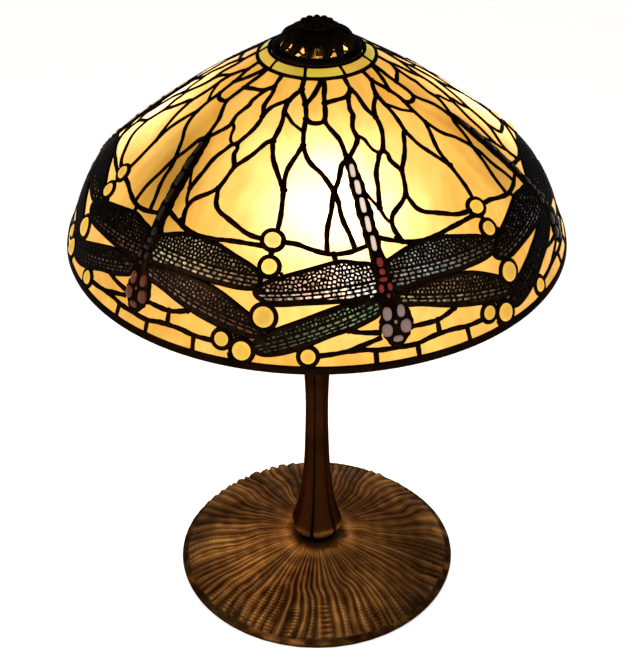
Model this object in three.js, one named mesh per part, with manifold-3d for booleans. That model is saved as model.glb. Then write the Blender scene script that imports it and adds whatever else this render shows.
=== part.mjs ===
// Leaded glass table lamp: six-fold dragonfly shade on a cast bronze base.
// Millimetres, +Z up. The origin is the centre of the felt ring that rests on the table.
import * as THREE from 'three';
import Module from 'manifold-3d';
import { mergeVertices } from 'three/addons/utils/BufferGeometryUtils.js';

// ---------- driving dimensions ----------
const GAP = 0.3; // clearance between touching pieces
const REPEATS = 6; // dragonflies round the shade
const LIGHTS = 3; // sockets in the cluster

const SHADE_THICKNESS = 3;
// Outer face of the shade as radius and height, from the aperture down to the rim.
const SHADE_PROFILE = [
  [36, 516], [45, 510.5], [72, 493.5], [100, 475], [128, 454.5],
  [152, 435.5], [170, 419.5], [182, 405], [191, 387], [197.5, 370], [203.2, 356],
];
// Borders between the bands, measured down the slope from the aperture.
const BAND = { crown: 0.6, leaves: 11, wings: 150, border: 213, rim: 231.7, end: 237.8 };
const BODY_AZIMUTH = 15.7; // first dragonfly, degrees from -Y towards +X
const BODY_HALF_WIDTH = 3.2; // degrees
const BODY_PROUD = 1.2; // how far a dragonfly's body stands out of the wings

const APERTURE_RING = { inner: 28, outer: 34.4, bottom: 512.6, top: 516 };

const BASE_RADIUS = 128;
const FELT = { inner: 60, outer: 126.5, thickness: 1.5 };
const PLATE = { inner: 12, outer: 116, thickness: 1.2 };
const BALLAST = { inner: 32, outer: 98, height: 5.2 };
const CASTING_WALL = 4;
const CASTING_LIP = 6; // width of the casting's bottom edge
// Upper face of the base as radius and height, from the boss out to the rim.
const BASE_PROFILE = [
  [24, 25.5], [30, 24.6], [45, 22.6], [65, 19.6], [85, 16.2],
  [104, 12.4], [112, 10], [118, 7.8], [123, 5.8], [127.2, 4.4], [BASE_RADIUS, 3.2],
];
const GLAND = { width: 8, height: 3, hole: 2, bottom: 2.1 };

const STEM_LOBES = 6;
const STEM_LOBE_AZIMUTH = 18; // middle of one lobe, degrees
const STEM_GROOVE_DEPTH = 0.12; // part of the radius
// Stem as radius and height, from the foot up.
const STEM_PROFILE = [
  [18.6, 26], [19.2, 30], [21, 33.6], [23.4, 37.2], [23.8, 40.5], [22, 46.5], [18.6, 58],
  [15.8, 72], [13.7, 90], [11.8, 113], [10.7, 143], [10.2, 175], [11.1, 207],
  [12.2, 245], [14, 285], [16, 312],
];
const STEM_COLLAR = { radius: 17.2, height: 8 };

const PIPE = { outer: 5, inner: 3.4, bottom: 9 };
const PIPE_BORE = PIPE.outer + GAP;
const RISER_RADIUS = 3.2;
const RISER_BORE = RISER_RADIUS + GAP;
const RISER_TOP = 535.2;
const CLUSTER = { bottom: 388, top: 420, radius: 19 };
const CLUSTER_POCKET = 10; // depth of the threaded pockets for the pipe and the riser

const SOCKET = { radius: 16, bore: 13.4, start: 27, length: 40, depth: 26 };
const SOCKET_TILT = 12; // degrees above horizontal
const SOCKET_AXIS_HEIGHT = 402; // where the socket axes meet the lamp's axis
const LIGHT_AZIMUTH = 5;
const ARM_RADIUS = 5;
const BULB = { base: 13, radius: 23.5, centre: 88 };

const CHAIN = { distance: 46, top: 393, bead: 1.6, pitch: 4.2, beads: 17, bell: 5, bellHeight: 16 };

const WHEEL = { hub: 9, arm: 5, reach: 33, thickness: 3.4 };
const NUT_THICKNESS = 5;

const CAP = { flange: 35.4, wall: 1.6, bottom: 516.3, windows: 14 };
const FINIAL = { radius: 14, bottom: 532.6, top: 537.5, bumps: 12 };

// ---------- helpers ----------
const toRadians = THREE.MathUtils.degToRad;

// A place round the lamp: azimuth in degrees from -Y towards +X.
function place(radius, azimuth, height) {
  const angle = toRadians(azimuth);
  return new THREE.Vector3(radius * Math.sin(angle), -radius * Math.cos(angle), height);
}

function material(color, roughness, metalness) {
  return new THREE.MeshStandardMaterial({ color, roughness, metalness });
}

const FINISH = {
  amberGlass: () => material(0xf6c878, 0.25, 0),
  yellowGlass: () => material(0xd8d060, 0.25, 0),
  wingGlass: () => material(0x5a5248, 0.35, 0.2),
  bodyGlass: () => material(0x7a3430, 0.3, 0),
  darkBronze: () => material(0x2a1c10, 0.45, 0.8),
  bronze: () => material(0x6e4419, 0.45, 0.85),
  brass: () => material(0xb08d4a, 0.35, 0.9),
  iron: () => material(0x35353a, 0.7, 0.6),
  felt: () => material(0x3a4a38, 0.95, 0),
  bulbGlass: () => material(0xfff3d0, 0.15, 0),
  rubber: () => material(0x201a16, 0.8, 0),
};

const lamp = new THREE.Group();

function addPiece(name, geometry, finish) {
  const piece = new THREE.Mesh(geometry, finish());
  piece.name = name;
  lamp.add(piece);
  return piece;
}

// Merges shared vertices, drops empty triangles and turns the faces outwards.
function closedBody(geometry) {
  const bare = geometry.clone();
  bare.deleteAttribute('normal');
  bare.deleteAttribute('uv');
  const merged = mergeVertices(bare, 1e-4);
  const index = merged.index.array;
  const kept = [];
  const corners = [new THREE.Vector3(), new THREE.Vector3(), new THREE.Vector3()];
  let volume = 0;
  for (let i = 0; i < index.length; i += 3) {
    const [a, b, c] = [index[i], index[i + 1], index[i + 2]];
    if (a === b || b === c || c === a) continue;
    kept.push(a, b, c);
    [a, b, c].forEach((vertex, n) => corners[n].fromBufferAttribute(merged.attributes.position, vertex));
    volume += corners[0].dot(corners[1].clone().cross(corners[2]));
  }
  if (volume < 0) kept.reverse();
  merged.setIndex(kept);
  merged.computeVertexNormals();
  return merged;
}

// A solid of revolution about Z from [radius, height] pairs.
// The outline runs from axis to axis, or is closed here when it leaves the axis out.
function turned(outline, segments = 36) {
  const points = outline.map(([radius, height]) => new THREE.Vector2(radius, height));
  const onAxis = points[0].x === 0 && points[points.length - 1].x === 0;
  if (!onAxis) points.push(points[0].clone());
  const geometry = new THREE.LatheGeometry(points, segments);
  geometry.rotateX(Math.PI / 2);
  return closedBody(geometry);
}

function ring(inner, outer, bottom, top, segments = 36) {
  return turned([[inner, bottom], [outer, bottom], [outer, top], [inner, top]], segments);
}

// A hexagon nut with a round hole.
function nut(acrossFlats, hole, bottom, thickness) {
  const corner = acrossFlats / Math.sqrt(3);
  const shape = new THREE.Shape();
  for (let side = 0; side < 6; side += 1) {
    const angle = (side * Math.PI) / 3;
    const [x, y] = [corner * Math.cos(angle), corner * Math.sin(angle)];
    if (side === 0) shape.moveTo(x, y);
    else shape.lineTo(x, y);
  }
  shape.closePath();
  shape.holes.push(new THREE.Path().absarc(0, 0, hole, 0, 2 * Math.PI, true));
  const geometry = new THREE.ExtrudeGeometry(shape, { depth: thickness, bevelEnabled: false, curveSegments: 16 });
  geometry.translate(0, 0, bottom);
  return closedBody(geometry);
}

// Pushes the outer vertices in or out by a factor that depends on the azimuth.
function fluted(geometry, beyondRadius, factorAt) {
  const position = geometry.attributes.position;
  for (let i = 0; i < position.count; i += 1) {
    const [x, y] = [position.getX(i), position.getY(i)];
    if (Math.hypot(x, y) < beyondRadius) continue;
    const factor = factorAt(Math.atan2(x, -y), position.getZ(i));
    position.setXY(i, x * factor, y * factor);
  }
  geometry.computeVertexNormals();
  return geometry;
}

// ---------- booleans ----------
const wasm = await Module();
wasm.setup();

function toSolid(geometry) {
  const closed = closedBody(geometry);
  return new wasm.Manifold(new wasm.Mesh({
    numProp: 3,
    vertProperties: new Float32Array(closed.attributes.position.array),
    triVerts: new Uint32Array(closed.index.array),
  }));
}

function fromSolid(solid) {
  const mesh = solid.getMesh();
  const geometry = new THREE.BufferGeometry();
  geometry.setAttribute('position', new THREE.BufferAttribute(new Float32Array(mesh.vertProperties), 3));
  geometry.setIndex(Array.from(mesh.triVerts));
  geometry.computeVertexNormals();
  return geometry;
}

function cut(geometry, tools) {
  const solid = tools.reduce((body, tool) => body.subtract(toSolid(tool)), toSolid(geometry));
  return fromSolid(solid);
}

// ---------- shade ----------
const slopeLengths = SHADE_PROFILE.map(() => 0);
for (let i = 1; i < SHADE_PROFILE.length; i += 1) {
  const [r0, z0] = SHADE_PROFILE[i - 1];
  const [r1, z1] = SHADE_PROFILE[i];
  slopeLengths[i] = slopeLengths[i - 1] + Math.hypot(r1 - r0, z1 - z0);
}

// Radius and height at a distance down the slope, at a depth under the outer face.
function shadePoint(slope, depth) {
  let i = 1;
  while (i < SHADE_PROFILE.length - 1 && slopeLengths[i] < slope) i += 1;
  const [r0, z0] = SHADE_PROFILE[i - 1];
  const [r1, z1] = SHADE_PROFILE[i];
  const span = slopeLengths[i] - slopeLengths[i - 1];
  const part = (slope - slopeLengths[i - 1]) / span;
  const [dr, dz] = [(r1 - r0) / span, (z1 - z0) / span];
  return [r0 + part * (r1 - r0) + depth * dz, z0 + part * (z1 - z0) - depth * dr];
}

function slopeStops(start, end) {
  return [start, ...slopeLengths.filter((s) => s > start + 2 && s < end - 2), end];
}

// Azimuths that every band shares, so that neighbouring bands have the same facets.
function sectorAzimuths(repeat) {
  const middle = BODY_AZIMUTH + (360 / REPEATS) * repeat;
  const wingSpan = 360 / REPEATS - 2 * BODY_HALF_WIDTH;
  const steps = 6;
  const wings = Array.from({ length: steps + 1 }, (_, i) => middle + BODY_HALF_WIDTH + (wingSpan * i) / steps);
  return { middle, wings, all: [middle, ...wings, middle + 360 / REPEATS] };
}

// A curved slab of the shade between two distances down the slope.
function shadePanel(azimuths, start, end, proud = 0) {
  const stops = slopeStops(start, end);
  const columns = azimuths.length;
  const positions = [];
  for (const depth of [-proud, SHADE_THICKNESS]) {
    for (const slope of stops) {
      const [radius, height] = shadePoint(slope, depth);
      azimuths.forEach((azimuth, column) => {
        const trim = THREE.MathUtils.radToDeg(GAP / 2 / radius);
        const shift = (column === 0) * trim - (column === columns - 1) * trim;
        positions.push(...place(radius, azimuth + shift, height));
      });
    }
  }
  const layer = stops.length * columns;
  const at = (side, row, column) => side * layer + row * columns + column;
  const triangles = [];
  const quad = (a, b, c, d) => triangles.push(a, b, c, a, c, d);
  for (let row = 0; row < stops.length - 1; row += 1) {
    for (let column = 0; column < columns - 1; column += 1) {
      quad(at(0, row, column), at(0, row + 1, column), at(0, row + 1, column + 1), at(0, row, column + 1));
      quad(at(1, row, column), at(1, row, column + 1), at(1, row + 1, column + 1), at(1, row + 1, column));
    }
    const last = columns - 1;
    quad(at(0, row, 0), at(1, row, 0), at(1, row + 1, 0), at(0, row + 1, 0));
    quad(at(0, row, last), at(0, row + 1, last), at(1, row + 1, last), at(1, row, last));
  }
  const lastRow = stops.length - 1;
  for (let column = 0; column < columns - 1; column += 1) {
    quad(at(0, 0, column), at(0, 0, column + 1), at(1, 0, column + 1), at(1, 0, column));
    quad(at(0, lastRow, column), at(1, lastRow, column), at(1, lastRow, column + 1), at(0, lastRow, column + 1));
  }
  const geometry = new THREE.BufferGeometry();
  geometry.setAttribute('position', new THREE.Float32BufferAttribute(positions, 3));
  geometry.setIndex(triangles);
  return closedBody(geometry);
}

function addShade() {
  const half = GAP / 2;
  for (let repeat = 0; repeat < REPEATS; repeat += 1) {
    const number = repeat + 1;
    const { middle, wings, all } = sectorAzimuths(repeat);
    const body = [middle - BODY_HALF_WIDTH, middle, middle + BODY_HALF_WIDTH];
    addPiece(`leaf_panel_${number}`, shadePanel(all, BAND.leaves + half, BAND.wings - half), FINISH.amberGlass);
    addPiece(`wing_panel_${number}`, shadePanel(wings, BAND.wings + half, BAND.border - half), FINISH.wingGlass);
    addPiece(`dragonfly_body_${number}`,
      shadePanel(body, BAND.wings + half, BAND.border - half, BODY_PROUD), FINISH.bodyGlass);
    addPiece(`border_panel_${number}`, shadePanel(all, BAND.border + half, BAND.rim - half), FINISH.amberGlass);
  }
  const band = (start, end) => [
    shadePoint(start, 0), shadePoint(end, 0), shadePoint(end, SHADE_THICKNESS), shadePoint(start, SHADE_THICKNESS),
  ];
  addPiece('crown_glass_ring', turned(band(BAND.crown, BAND.leaves - half), 48), FINISH.yellowGlass);
  addPiece('rim_band', turned(band(BAND.rim + half, BAND.end), 60), FINISH.darkBronze);
  addPiece('aperture_ring',
    ring(APERTURE_RING.inner, APERTURE_RING.outer, APERTURE_RING.bottom, APERTURE_RING.top, 36), FINISH.brass);
}

// ---------- cap and finial ----------
function addCap() {
  const { flange, wall, bottom } = CAP;
  const shell = turned([
    [5, 531], [13, 530.6], [19.6, 528.2], [25.6, 523.4], [28.4, 518],
    [28.4, bottom], [flange, bottom], [flange, bottom + wall], [30, bottom + wall + 0.4],
    [27.2, 524.4], [20.6, 529.6], [13.6, 532.1], [5, 532.3],
  ], 28);
  const openings = [];
  for (let i = 0; i < CAP.windows; i += 1) {
    const outline = new THREE.Shape([
      new THREE.Vector2(-3.6, 0), new THREE.Vector2(3.6, 0), new THREE.Vector2(1.6, 5.2), new THREE.Vector2(-1.6, 5.2),
    ]);
    const tool = new THREE.ExtrudeGeometry(outline, { depth: 14, bevelEnabled: false });
    tool.rotateX(Math.PI / 2);
    tool.translate(0, -20, 519.4);
    tool.rotateZ((i * 2 * Math.PI) / CAP.windows);
    openings.push(tool);
  }
  addPiece('heat_cap', cut(shell, openings), FINISH.darkBronze);

  const { radius, top, bumps } = FINIAL;
  const knob = turned([
    [0, top], [7, top], [11.5, top - 0.7], [radius, top - 2.3], [radius - 1, top - 4],
    [8, FINIAL.bottom], [RISER_BORE, FINIAL.bottom], [RISER_BORE, RISER_TOP + GAP], [0, RISER_TOP + GAP],
  ], 48);
  const scalloped = fluted(knob, 9, (azimuth) => 1 - 0.04 * (1 - Math.cos(azimuth * bumps)));
  addPiece('finial_knob', scalloped, FINISH.darkBronze);
}

// ---------- base ----------
function addBase() {
  const edge = FELT.thickness + GAP;
  const under = BASE_PROFILE.filter(([radius]) => radius < BASE_RADIUS - CASTING_LIP - 1)
    .map(([radius, height]) => [radius, height - CASTING_WALL]);
  const casting = turned([
    [PIPE_BORE, 25.6], ...BASE_PROFILE, [BASE_RADIUS - 0.6, edge], [BASE_RADIUS - CASTING_LIP, edge],
    ...under.reverse(), [PIPE_BORE, under[under.length - 1][1]],
  ], 48);
  const notch = new THREE.BoxGeometry(GLAND.width + 2 * GAP, 20, GLAND.height + 2 * GAP);
  notch.translate(0, BASE_RADIUS - CASTING_LIP / 2, GLAND.bottom + GLAND.height / 2);
  addPiece('base_casting', cut(casting, [notch]), FINISH.bronze);

  const outline = new THREE.Shape();
  const [side, end] = [(GLAND.width - GLAND.height) / 2, GLAND.height / 2];
  outline.absarc(side, 0, end, -Math.PI / 2, Math.PI / 2, false);
  outline.absarc(-side, 0, end, Math.PI / 2, (3 * Math.PI) / 2, false);
  const hole = new THREE.Path();
  hole.absarc(side, 0, GLAND.hole / 2, -Math.PI / 2, Math.PI / 2, false);
  hole.absarc(-side, 0, GLAND.hole / 2, Math.PI / 2, (3 * Math.PI) / 2, false);
  outline.holes.push(hole);
  const gland = new THREE.ExtrudeGeometry(outline, { depth: CASTING_LIP, bevelEnabled: false, curveSegments: 8 });
  gland.rotateX(Math.PI / 2);
  gland.translate(0, BASE_RADIUS - 0.4, GLAND.bottom + GLAND.height / 2);
  addPiece('cord_bushing', closedBody(gland), FINISH.rubber);

  addPiece('felt_ring', ring(FELT.inner, FELT.outer, 0, FELT.thickness, 48), FINISH.felt);
  addPiece('base_cover_plate', ring(PLATE.inner, PLATE.outer, edge, edge + PLATE.thickness, 36), FINISH.iron);
  const ballastBottom = edge + PLATE.thickness + GAP;
  addPiece('ballast_ring',
    ring(BALLAST.inner, BALLAST.outer, ballastBottom, ballastBottom + BALLAST.height, 36), FINISH.iron);
  addPiece('base_washer', ring(PIPE_BORE, 14, 19.2, 21, 24), FINISH.brass);
  addPiece('base_nut', nut(17, PIPE_BORE, 19 - NUT_THICKNESS, NUT_THICKNESS), FINISH.brass);
}

// ---------- stem ----------
function addStem() {
  const [, stemTop] = STEM_PROFILE[STEM_PROFILE.length - 1];
  const [, stemBottom] = STEM_PROFILE[0];
  const plain = turned([[PIPE_BORE, stemBottom], ...STEM_PROFILE, [PIPE_BORE, stemTop]], 60);
  const lobe = toRadians(STEM_LOBE_AZIMUTH);
  const groove = (azimuth) => Math.abs(Math.sin(((azimuth - lobe) * STEM_LOBES) / 2)) ** 14;
  addPiece('stem', fluted(plain, 9, (azimuth) => 1 - STEM_GROOVE_DEPTH * groove(azimuth)), FINISH.bronze);

  const bottom = stemTop + GAP;
  const { radius, height } = STEM_COLLAR;
  addPiece('stem_collar', turned([
    [PIPE_BORE, bottom], [radius - 1, bottom], [radius, bottom + 2], [radius - 3, bottom + 5],
    [9, bottom + height], [PIPE_BORE, bottom + height],
  ], 24), FINISH.darkBronze);
  addPiece('lamp_pipe',
    ring(PIPE.inner, PIPE.outer, PIPE.bottom, CLUSTER.bottom + CLUSTER_POCKET - GAP, 24), FINISH.brass);
}

// ---------- light cluster ----------
// Turns a piece built along +Z so that it lies along its socket's axis.
function alongSocket(geometry, azimuth) {
  geometry.rotateX(toRadians(90 - SOCKET_TILT));
  geometry.translate(0, 0, SOCKET_AXIS_HEIGHT);
  geometry.rotateZ(toRadians(azimuth));
  return geometry;
}

function addCluster() {
  const { bottom, top, radius } = CLUSTER;
  const tools = [];
  for (let light = 0; light < LIGHTS; light += 1) {
    const seat = new THREE.CylinderGeometry(ARM_RADIUS + GAP, ARM_RADIUS + GAP, 20, 16);
    seat.rotateX(Math.PI / 2);
    seat.translate(0, 0, 23);
    tools.push(alongSocket(seat, LIGHT_AZIMUTH + (360 / LIGHTS) * light));
  }
  const core = turned([
    [0, bottom + CLUSTER_POCKET], [PIPE_BORE, bottom + CLUSTER_POCKET], [PIPE_BORE, bottom],
    [12, bottom], [17, bottom + 4], [radius, bottom + 10], [radius, top - 10], [15, top - 3],
    [8, top], [RISER_BORE, top], [RISER_BORE, top - CLUSTER_POCKET], [0, top - CLUSTER_POCKET],
  ], 24);
  addPiece('cluster_body', cut(core, tools), FINISH.brass);

  for (let light = 0; light < LIGHTS; light += 1) {
    const number = light + 1;
    const azimuth = LIGHT_AZIMUTH + (360 / LIGHTS) * light;
    const { start, length, depth, bore } = SOCKET;
    const floor = start + length - depth;
    addPiece(`socket_arm_${number}`, alongSocket(ring(3.2, ARM_RADIUS, 14, start - GAP, 20), azimuth), FINISH.brass);
    addPiece(`socket_shell_${number}`, alongSocket(turned([
      [0, start], [11, start], [SOCKET.radius, start + 8], [SOCKET.radius, start + length],
      [bore, start + length], [bore, floor], [0, floor],
    ], 24), azimuth), FINISH.brass);
    const neck = start + length + 2;
    addPiece(`bulb_${number}`, alongSocket(turned([
      [0, floor + GAP], [6, floor + GAP], [BULB.base, floor + 4], [BULB.base, neck],
      [17, BULB.centre - 14], [21.6, BULB.centre - 8], [BULB.radius, BULB.centre], [22, BULB.centre + 9],
      [17, BULB.centre + 17], [9, BULB.centre + 22.4], [0, BULB.centre + 24],
    ], 20), azimuth), FINISH.bulbGlass);
    addPiece(`pull_chain_${number}`, pullChain(azimuth), FINISH.brass);
  }
}

// A bead chain with a bell-shaped pull on its end.
function pullChain(azimuth) {
  const { top, bead, pitch, beads, bell, bellHeight } = CHAIN;
  const link = 0.7;
  const outline = [[0, top]];
  for (let i = 0; i < beads; i += 1) {
    const height = top - pitch * i;
    outline.push([link, height - 0.4], [bead, height - pitch / 2], [link, height - 3.8]);
  }
  const bellTop = top - pitch * beads;
  outline.push([2, bellTop], [2.6, bellTop - 5], [bell, bellTop - bellHeight + 2], [0, bellTop - bellHeight]);
  const geometry = turned(outline, 6);
  const offset = place(CHAIN.distance, azimuth, 0);
  geometry.translate(offset.x, offset.y, offset.z);
  return geometry;
}

// ---------- riser and shade wheel ----------
function addRiser() {
  const wheelTop = APERTURE_RING.bottom - GAP;
  const wheelBottom = wheelTop - WHEEL.thickness;
  const riserBottom = CLUSTER.top - CLUSTER_POCKET + GAP;
  addPiece('riser_pipe', ring(1.8, RISER_RADIUS, riserBottom, RISER_TOP, 20), FINISH.brass);

  const outline = new THREE.Shape();
  const halfArm = Math.asin(WHEEL.arm / 2 / WHEEL.hub);
  const tip = Math.hypot(WHEEL.reach, WHEEL.arm / 2);
  const halfTip = Math.atan2(WHEEL.arm / 2, WHEEL.reach);
  for (let arm = 0; arm < LIGHTS; arm += 1) {
    const angle = (2 * Math.PI * arm) / LIGHTS;
    const next = angle + (2 * Math.PI) / LIGHTS;
    const tipPoint = (side) => [tip * Math.cos(angle + side * halfTip), tip * Math.sin(angle + side * halfTip)];
    if (arm === 0) outline.moveTo(...tipPoint(-1));
    else outline.lineTo(...tipPoint(-1));
    outline.lineTo(...tipPoint(1));
    outline.absarc(0, 0, WHEEL.hub, angle + halfArm, next - halfArm, false);
  }
  outline.closePath();
  outline.holes.push(new THREE.Path().absarc(0, 0, RISER_BORE, 0, 2 * Math.PI, true));
  const wheel = new THREE.ExtrudeGeometry(outline, { depth: WHEEL.thickness, bevelEnabled: false, curveSegments: 8 });
  wheel.translate(0, 0, wheelBottom);
  addPiece('shade_wheel', closedBody(wheel), FINISH.brass);
  addPiece('wheel_nut', nut(12, RISER_BORE, wheelBottom - GAP - NUT_THICKNESS, NUT_THICKNESS), FINISH.brass);
}

addBase();
addStem();
addCluster();
addRiser();
addShade();
addCap();

export default lamp;
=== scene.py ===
import math

import bpy
import numpy as np
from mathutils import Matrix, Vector
from mathutils.geometry import delaunay_2d_cdt
from mathutils.kdtree import KDTree


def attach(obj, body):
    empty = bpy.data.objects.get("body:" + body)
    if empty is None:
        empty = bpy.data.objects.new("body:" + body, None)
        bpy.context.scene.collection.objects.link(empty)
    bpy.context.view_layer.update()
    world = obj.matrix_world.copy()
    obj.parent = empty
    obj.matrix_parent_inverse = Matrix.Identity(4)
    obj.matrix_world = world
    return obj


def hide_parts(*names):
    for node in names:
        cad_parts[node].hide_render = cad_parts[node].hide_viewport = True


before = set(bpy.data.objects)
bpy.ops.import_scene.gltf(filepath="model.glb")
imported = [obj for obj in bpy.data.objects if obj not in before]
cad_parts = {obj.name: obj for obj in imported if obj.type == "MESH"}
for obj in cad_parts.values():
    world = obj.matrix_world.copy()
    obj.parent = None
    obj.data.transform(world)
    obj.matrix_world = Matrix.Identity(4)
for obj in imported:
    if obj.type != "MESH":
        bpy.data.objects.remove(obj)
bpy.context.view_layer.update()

MM = 0.001  # lengths below are millimetres, azimuths are degrees from -Y towards +X

# ---------- driving dimensions ----------
REPEATS = 6
STEP = 360 / REPEATS
PATTERN_START = -13.3  # azimuth where the first repeat of the shade's pattern begins
GLASS = 3.0  # thickness
SHADE_PROFILE = [
    (36, 516), (45, 510.5), (72, 493.5), (100, 475), (128, 454.5),
    (152, 435.5), (170, 419.5), (182, 405), (191, 387), (197.5, 370), (203.2, 356),
]
CROWN_START, CROWN_END = 0.8, 11.0  # distances down the slope of the shade
LEAVES_END, WINGS_END, GLASS_END = 150, 213, 232.4
CROWN_TILES = 9
CROWN_AZIMUTH = -13.0

# The pattern was cut by hand and drifts from six equal repeats. At each azimuth the drift is so many degrees
# aside and so many millimetres down the slope; the shares say how much of it there is at each distance down.
DRIFT_AZIMUTHS = (-180, -78, -66, -42, -20, -8, 8, 30, 44, 52, 78, 180)
DRIFT_ASIDE = (0, -5.3, -4.7, -4.1, -3.4, -0.3, 0, 0.7, 1.2, 3.8, 3.7, 0)
DRIFT_DOWN = (0, 4, 4, 1, -1.5, 0, 0.5, 1.5, 1, 2.8, 4.5, 0)
DRIFT_SLOPES = (11, 25, 40, 70, 100, 130, 145, 160)
SHARE_ASIDE = (0, 0.45, 1, 1, 0.75, 0.4, 0.25, 0)
SHARE_DOWN = (0, 0.3, 1, 1.1, 1.6, 1.1, 0.6, 0)

LEAD = 2.25  # half width of a lead line
FINE_LEAD = 1.6
WING_LEAD = 1.7
RING_LEAD = 2.1
LEAD_PROUD = 1.0

LIGHTS = 3
LIGHT_AZIMUTH = 5
BULB_DISTANCE, BULB_HEIGHT = 105, 415
SOCKET_TILT = 12
SOCKET_AXIS_HEIGHT = 402
CHAIN_RADIUS = 46  # how far the pull chains hang from the lamp's axis
CHAIN_TOP, BEAD_PITCH, CHAIN_BEADS = 393, 3.4, 21

RIBS = 84
CAP_WINDOWS = 14
FINIAL_BUMPS = 12
STEM_LOBES = 6
STEM_LOBE_AZIMUTH = 18

CAMERA_PLACE = (0, -1.0322, 0.9638)  # metres
CAMERA_PITCH = 34.23  # degrees below level
CAMERA_LENS, CAMERA_SENSOR = 80.9, 36
CAMERA_SHIFT = -0.006

# ---------- lead lines of one repeat, as (degrees, millimetres down the slope) ----------
BOLD_LINES = [
    [(1.9, 149), (1.8, 156)],
    [(1.5, 10), (1.5, 19), (2.7, 23.5), (5.6, 31), (7.4, 43), (7, 54), (7.4, 67)],
    [(7.4, 67), (6, 72), (3.5, 84), (2.6, 94), (2.9, 112), (3, 125), (2.6, 137)],
    [(7.4, 67), (9.5, 77), (11.8, 83), (14.8, 88.5), (17.3, 96), (19, 103)],
    [(16.8, 10), (15.6, 15), (13.8, 19), (10.5, 25.5), (6, 33)],
    [(19.6, 10), (19.5, 19), (18.6, 25.5), (18.4, 40), (17.5, 46.5)],
    [(7.4, 45), (9.7, 47.7), (12.6, 48.5), (15.8, 47.8), (17.5, 46.5)],
    [(18.5, 31.5), (22, 30.5), (27, 29.2), (32.6, 28.2), (36.3, 26), (39.8, 22.5)],
    [(39.2, 10), (39.3, 15.5), (39.8, 22.5)],
    [(39.8, 22.5), (42, 27), (42.6, 33), (43.2, 40), (45.8, 49), (45.5, 57), (44.2, 64), (41, 75.5)],
    [(41, 75.5), (42.3, 79), (42.1, 84), (43.3, 89), (44.6, 93.5)],
    [(61.6, 20.5), (58, 26), (55.7, 32), (51.8, 36), (49.2, 39), (47.2, 43), (45.8, 49)],
    [(55.7, 32), (56.1, 40), (56.8, 50), (56.4, 60), (55.7, 67.5)],
    [(55.7, 67.5), (54, 69.5), (51.8, 75.5), (49.7, 81.5), (47.2, 87.5), (44.6, 93.5)],
    [(55.7, 67.5), (56.6, 74), (57.7, 82), (59.5, 89.5), (61.2, 97), (62.8, 104)],
    [(35.7, 27), (34.2, 33), (33.4, 38.5), (34, 42.5), (32.6, 47.7), (31.4, 54), (32.1, 61.5),
     (31.3, 65.5), (28.8, 71.5), (26.4, 77)],
    [(17.5, 46.5), (19.7, 52), (22.2, 57.7), (23.8, 62.3), (24.7, 69), (25.4, 78)],
    [(25.4, 78), (23, 82.5), (21.8, 89.5), (20.7, 96), (19, 103)],
    [(19, 103), (18.3, 110), (17.7, 118), (16.8, 126), (16.1, 135), (15.9, 150)],
    [(19, 103), (20.1, 111), (20.4, 119.5), (21.1, 128), (22.2, 136.5), (23.2, 148.5)],
    [(41, 75.5), (39, 77.5), (37.6, 82), (35.5, 89), (34.5, 95), (34, 102), (33.2, 109.5), (32.4, 119)],
    [(44.6, 93.5), (43.8, 100.5), (43, 107), (42.1, 112.5)],
    [(42.1, 112.5), (39.7, 118), (37.2, 122.5), (35.5, 126.5), (34.7, 132), (34.8, 138), (35.9, 147.5)],
    [(42.1, 112.5), (42.8, 119), (43.5, 124.5), (45.3, 129.3), (48, 132.5), (51.3, 136.5),
     (54.2, 140.3), (57, 142.3), (60, 142.7)],
    [(4, 143), (8, 143.8), (10.9, 146.5), (14.7, 149.8), (17.6, 151.2), (21.3, 150.4), (23.8, 148.7),
     (27, 146)],
    [(29, 140.5), (32.2, 144), (35, 146.7), (38, 149.3), (42.2, 150.4), (46, 150), (49.7, 148.6),
     (53.8, 148), (60, 147.5)],
    [(17.6, 151.2), (18, 157.5)],
    [(20, 206), (22.5, 208.2), (27, 210)],
    [(27, 213.5), (23, 217.5), (19.5, 221.3)],
    [(33.6, 209.3), (37, 209.5), (39.7, 209.3), (42, 207.4), (44.4, 204.5)],
    [(39.8, 209.3), (39.9, 219.6)],
    [(13.2, 224), (17, 222.5), (19.5, 221.3), (23, 221), (26, 222.3), (30, 222.5), (34.5, 222.6),
     (38.3, 220), (43, 219.4), (47, 221), (51.5, 221)],
    [(25.5, 222), (25.5, 233)],
    [(34.6, 222.5), (34.7, 233)],
    [(46.7, 221), (46.9, 233)],
    [(10.6, 229), (10.9, 233)],
    [(55, 227), (55.6, 233)],
]
FINE_LINES = [
    [(56.2, 41), (59.5, 46.5), (61.5, 50), (63.5, 52.3), (67.1, 56.5)],
    [(32.1, 60), (35, 64), (35.9, 69), (37.2, 74), (39.2, 76.3), (41, 75.5)],
    [(28.5, 103), (30, 109.5), (31.3, 115), (32.4, 120), (33.2, 127), (34.7, 133)],
]
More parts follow.
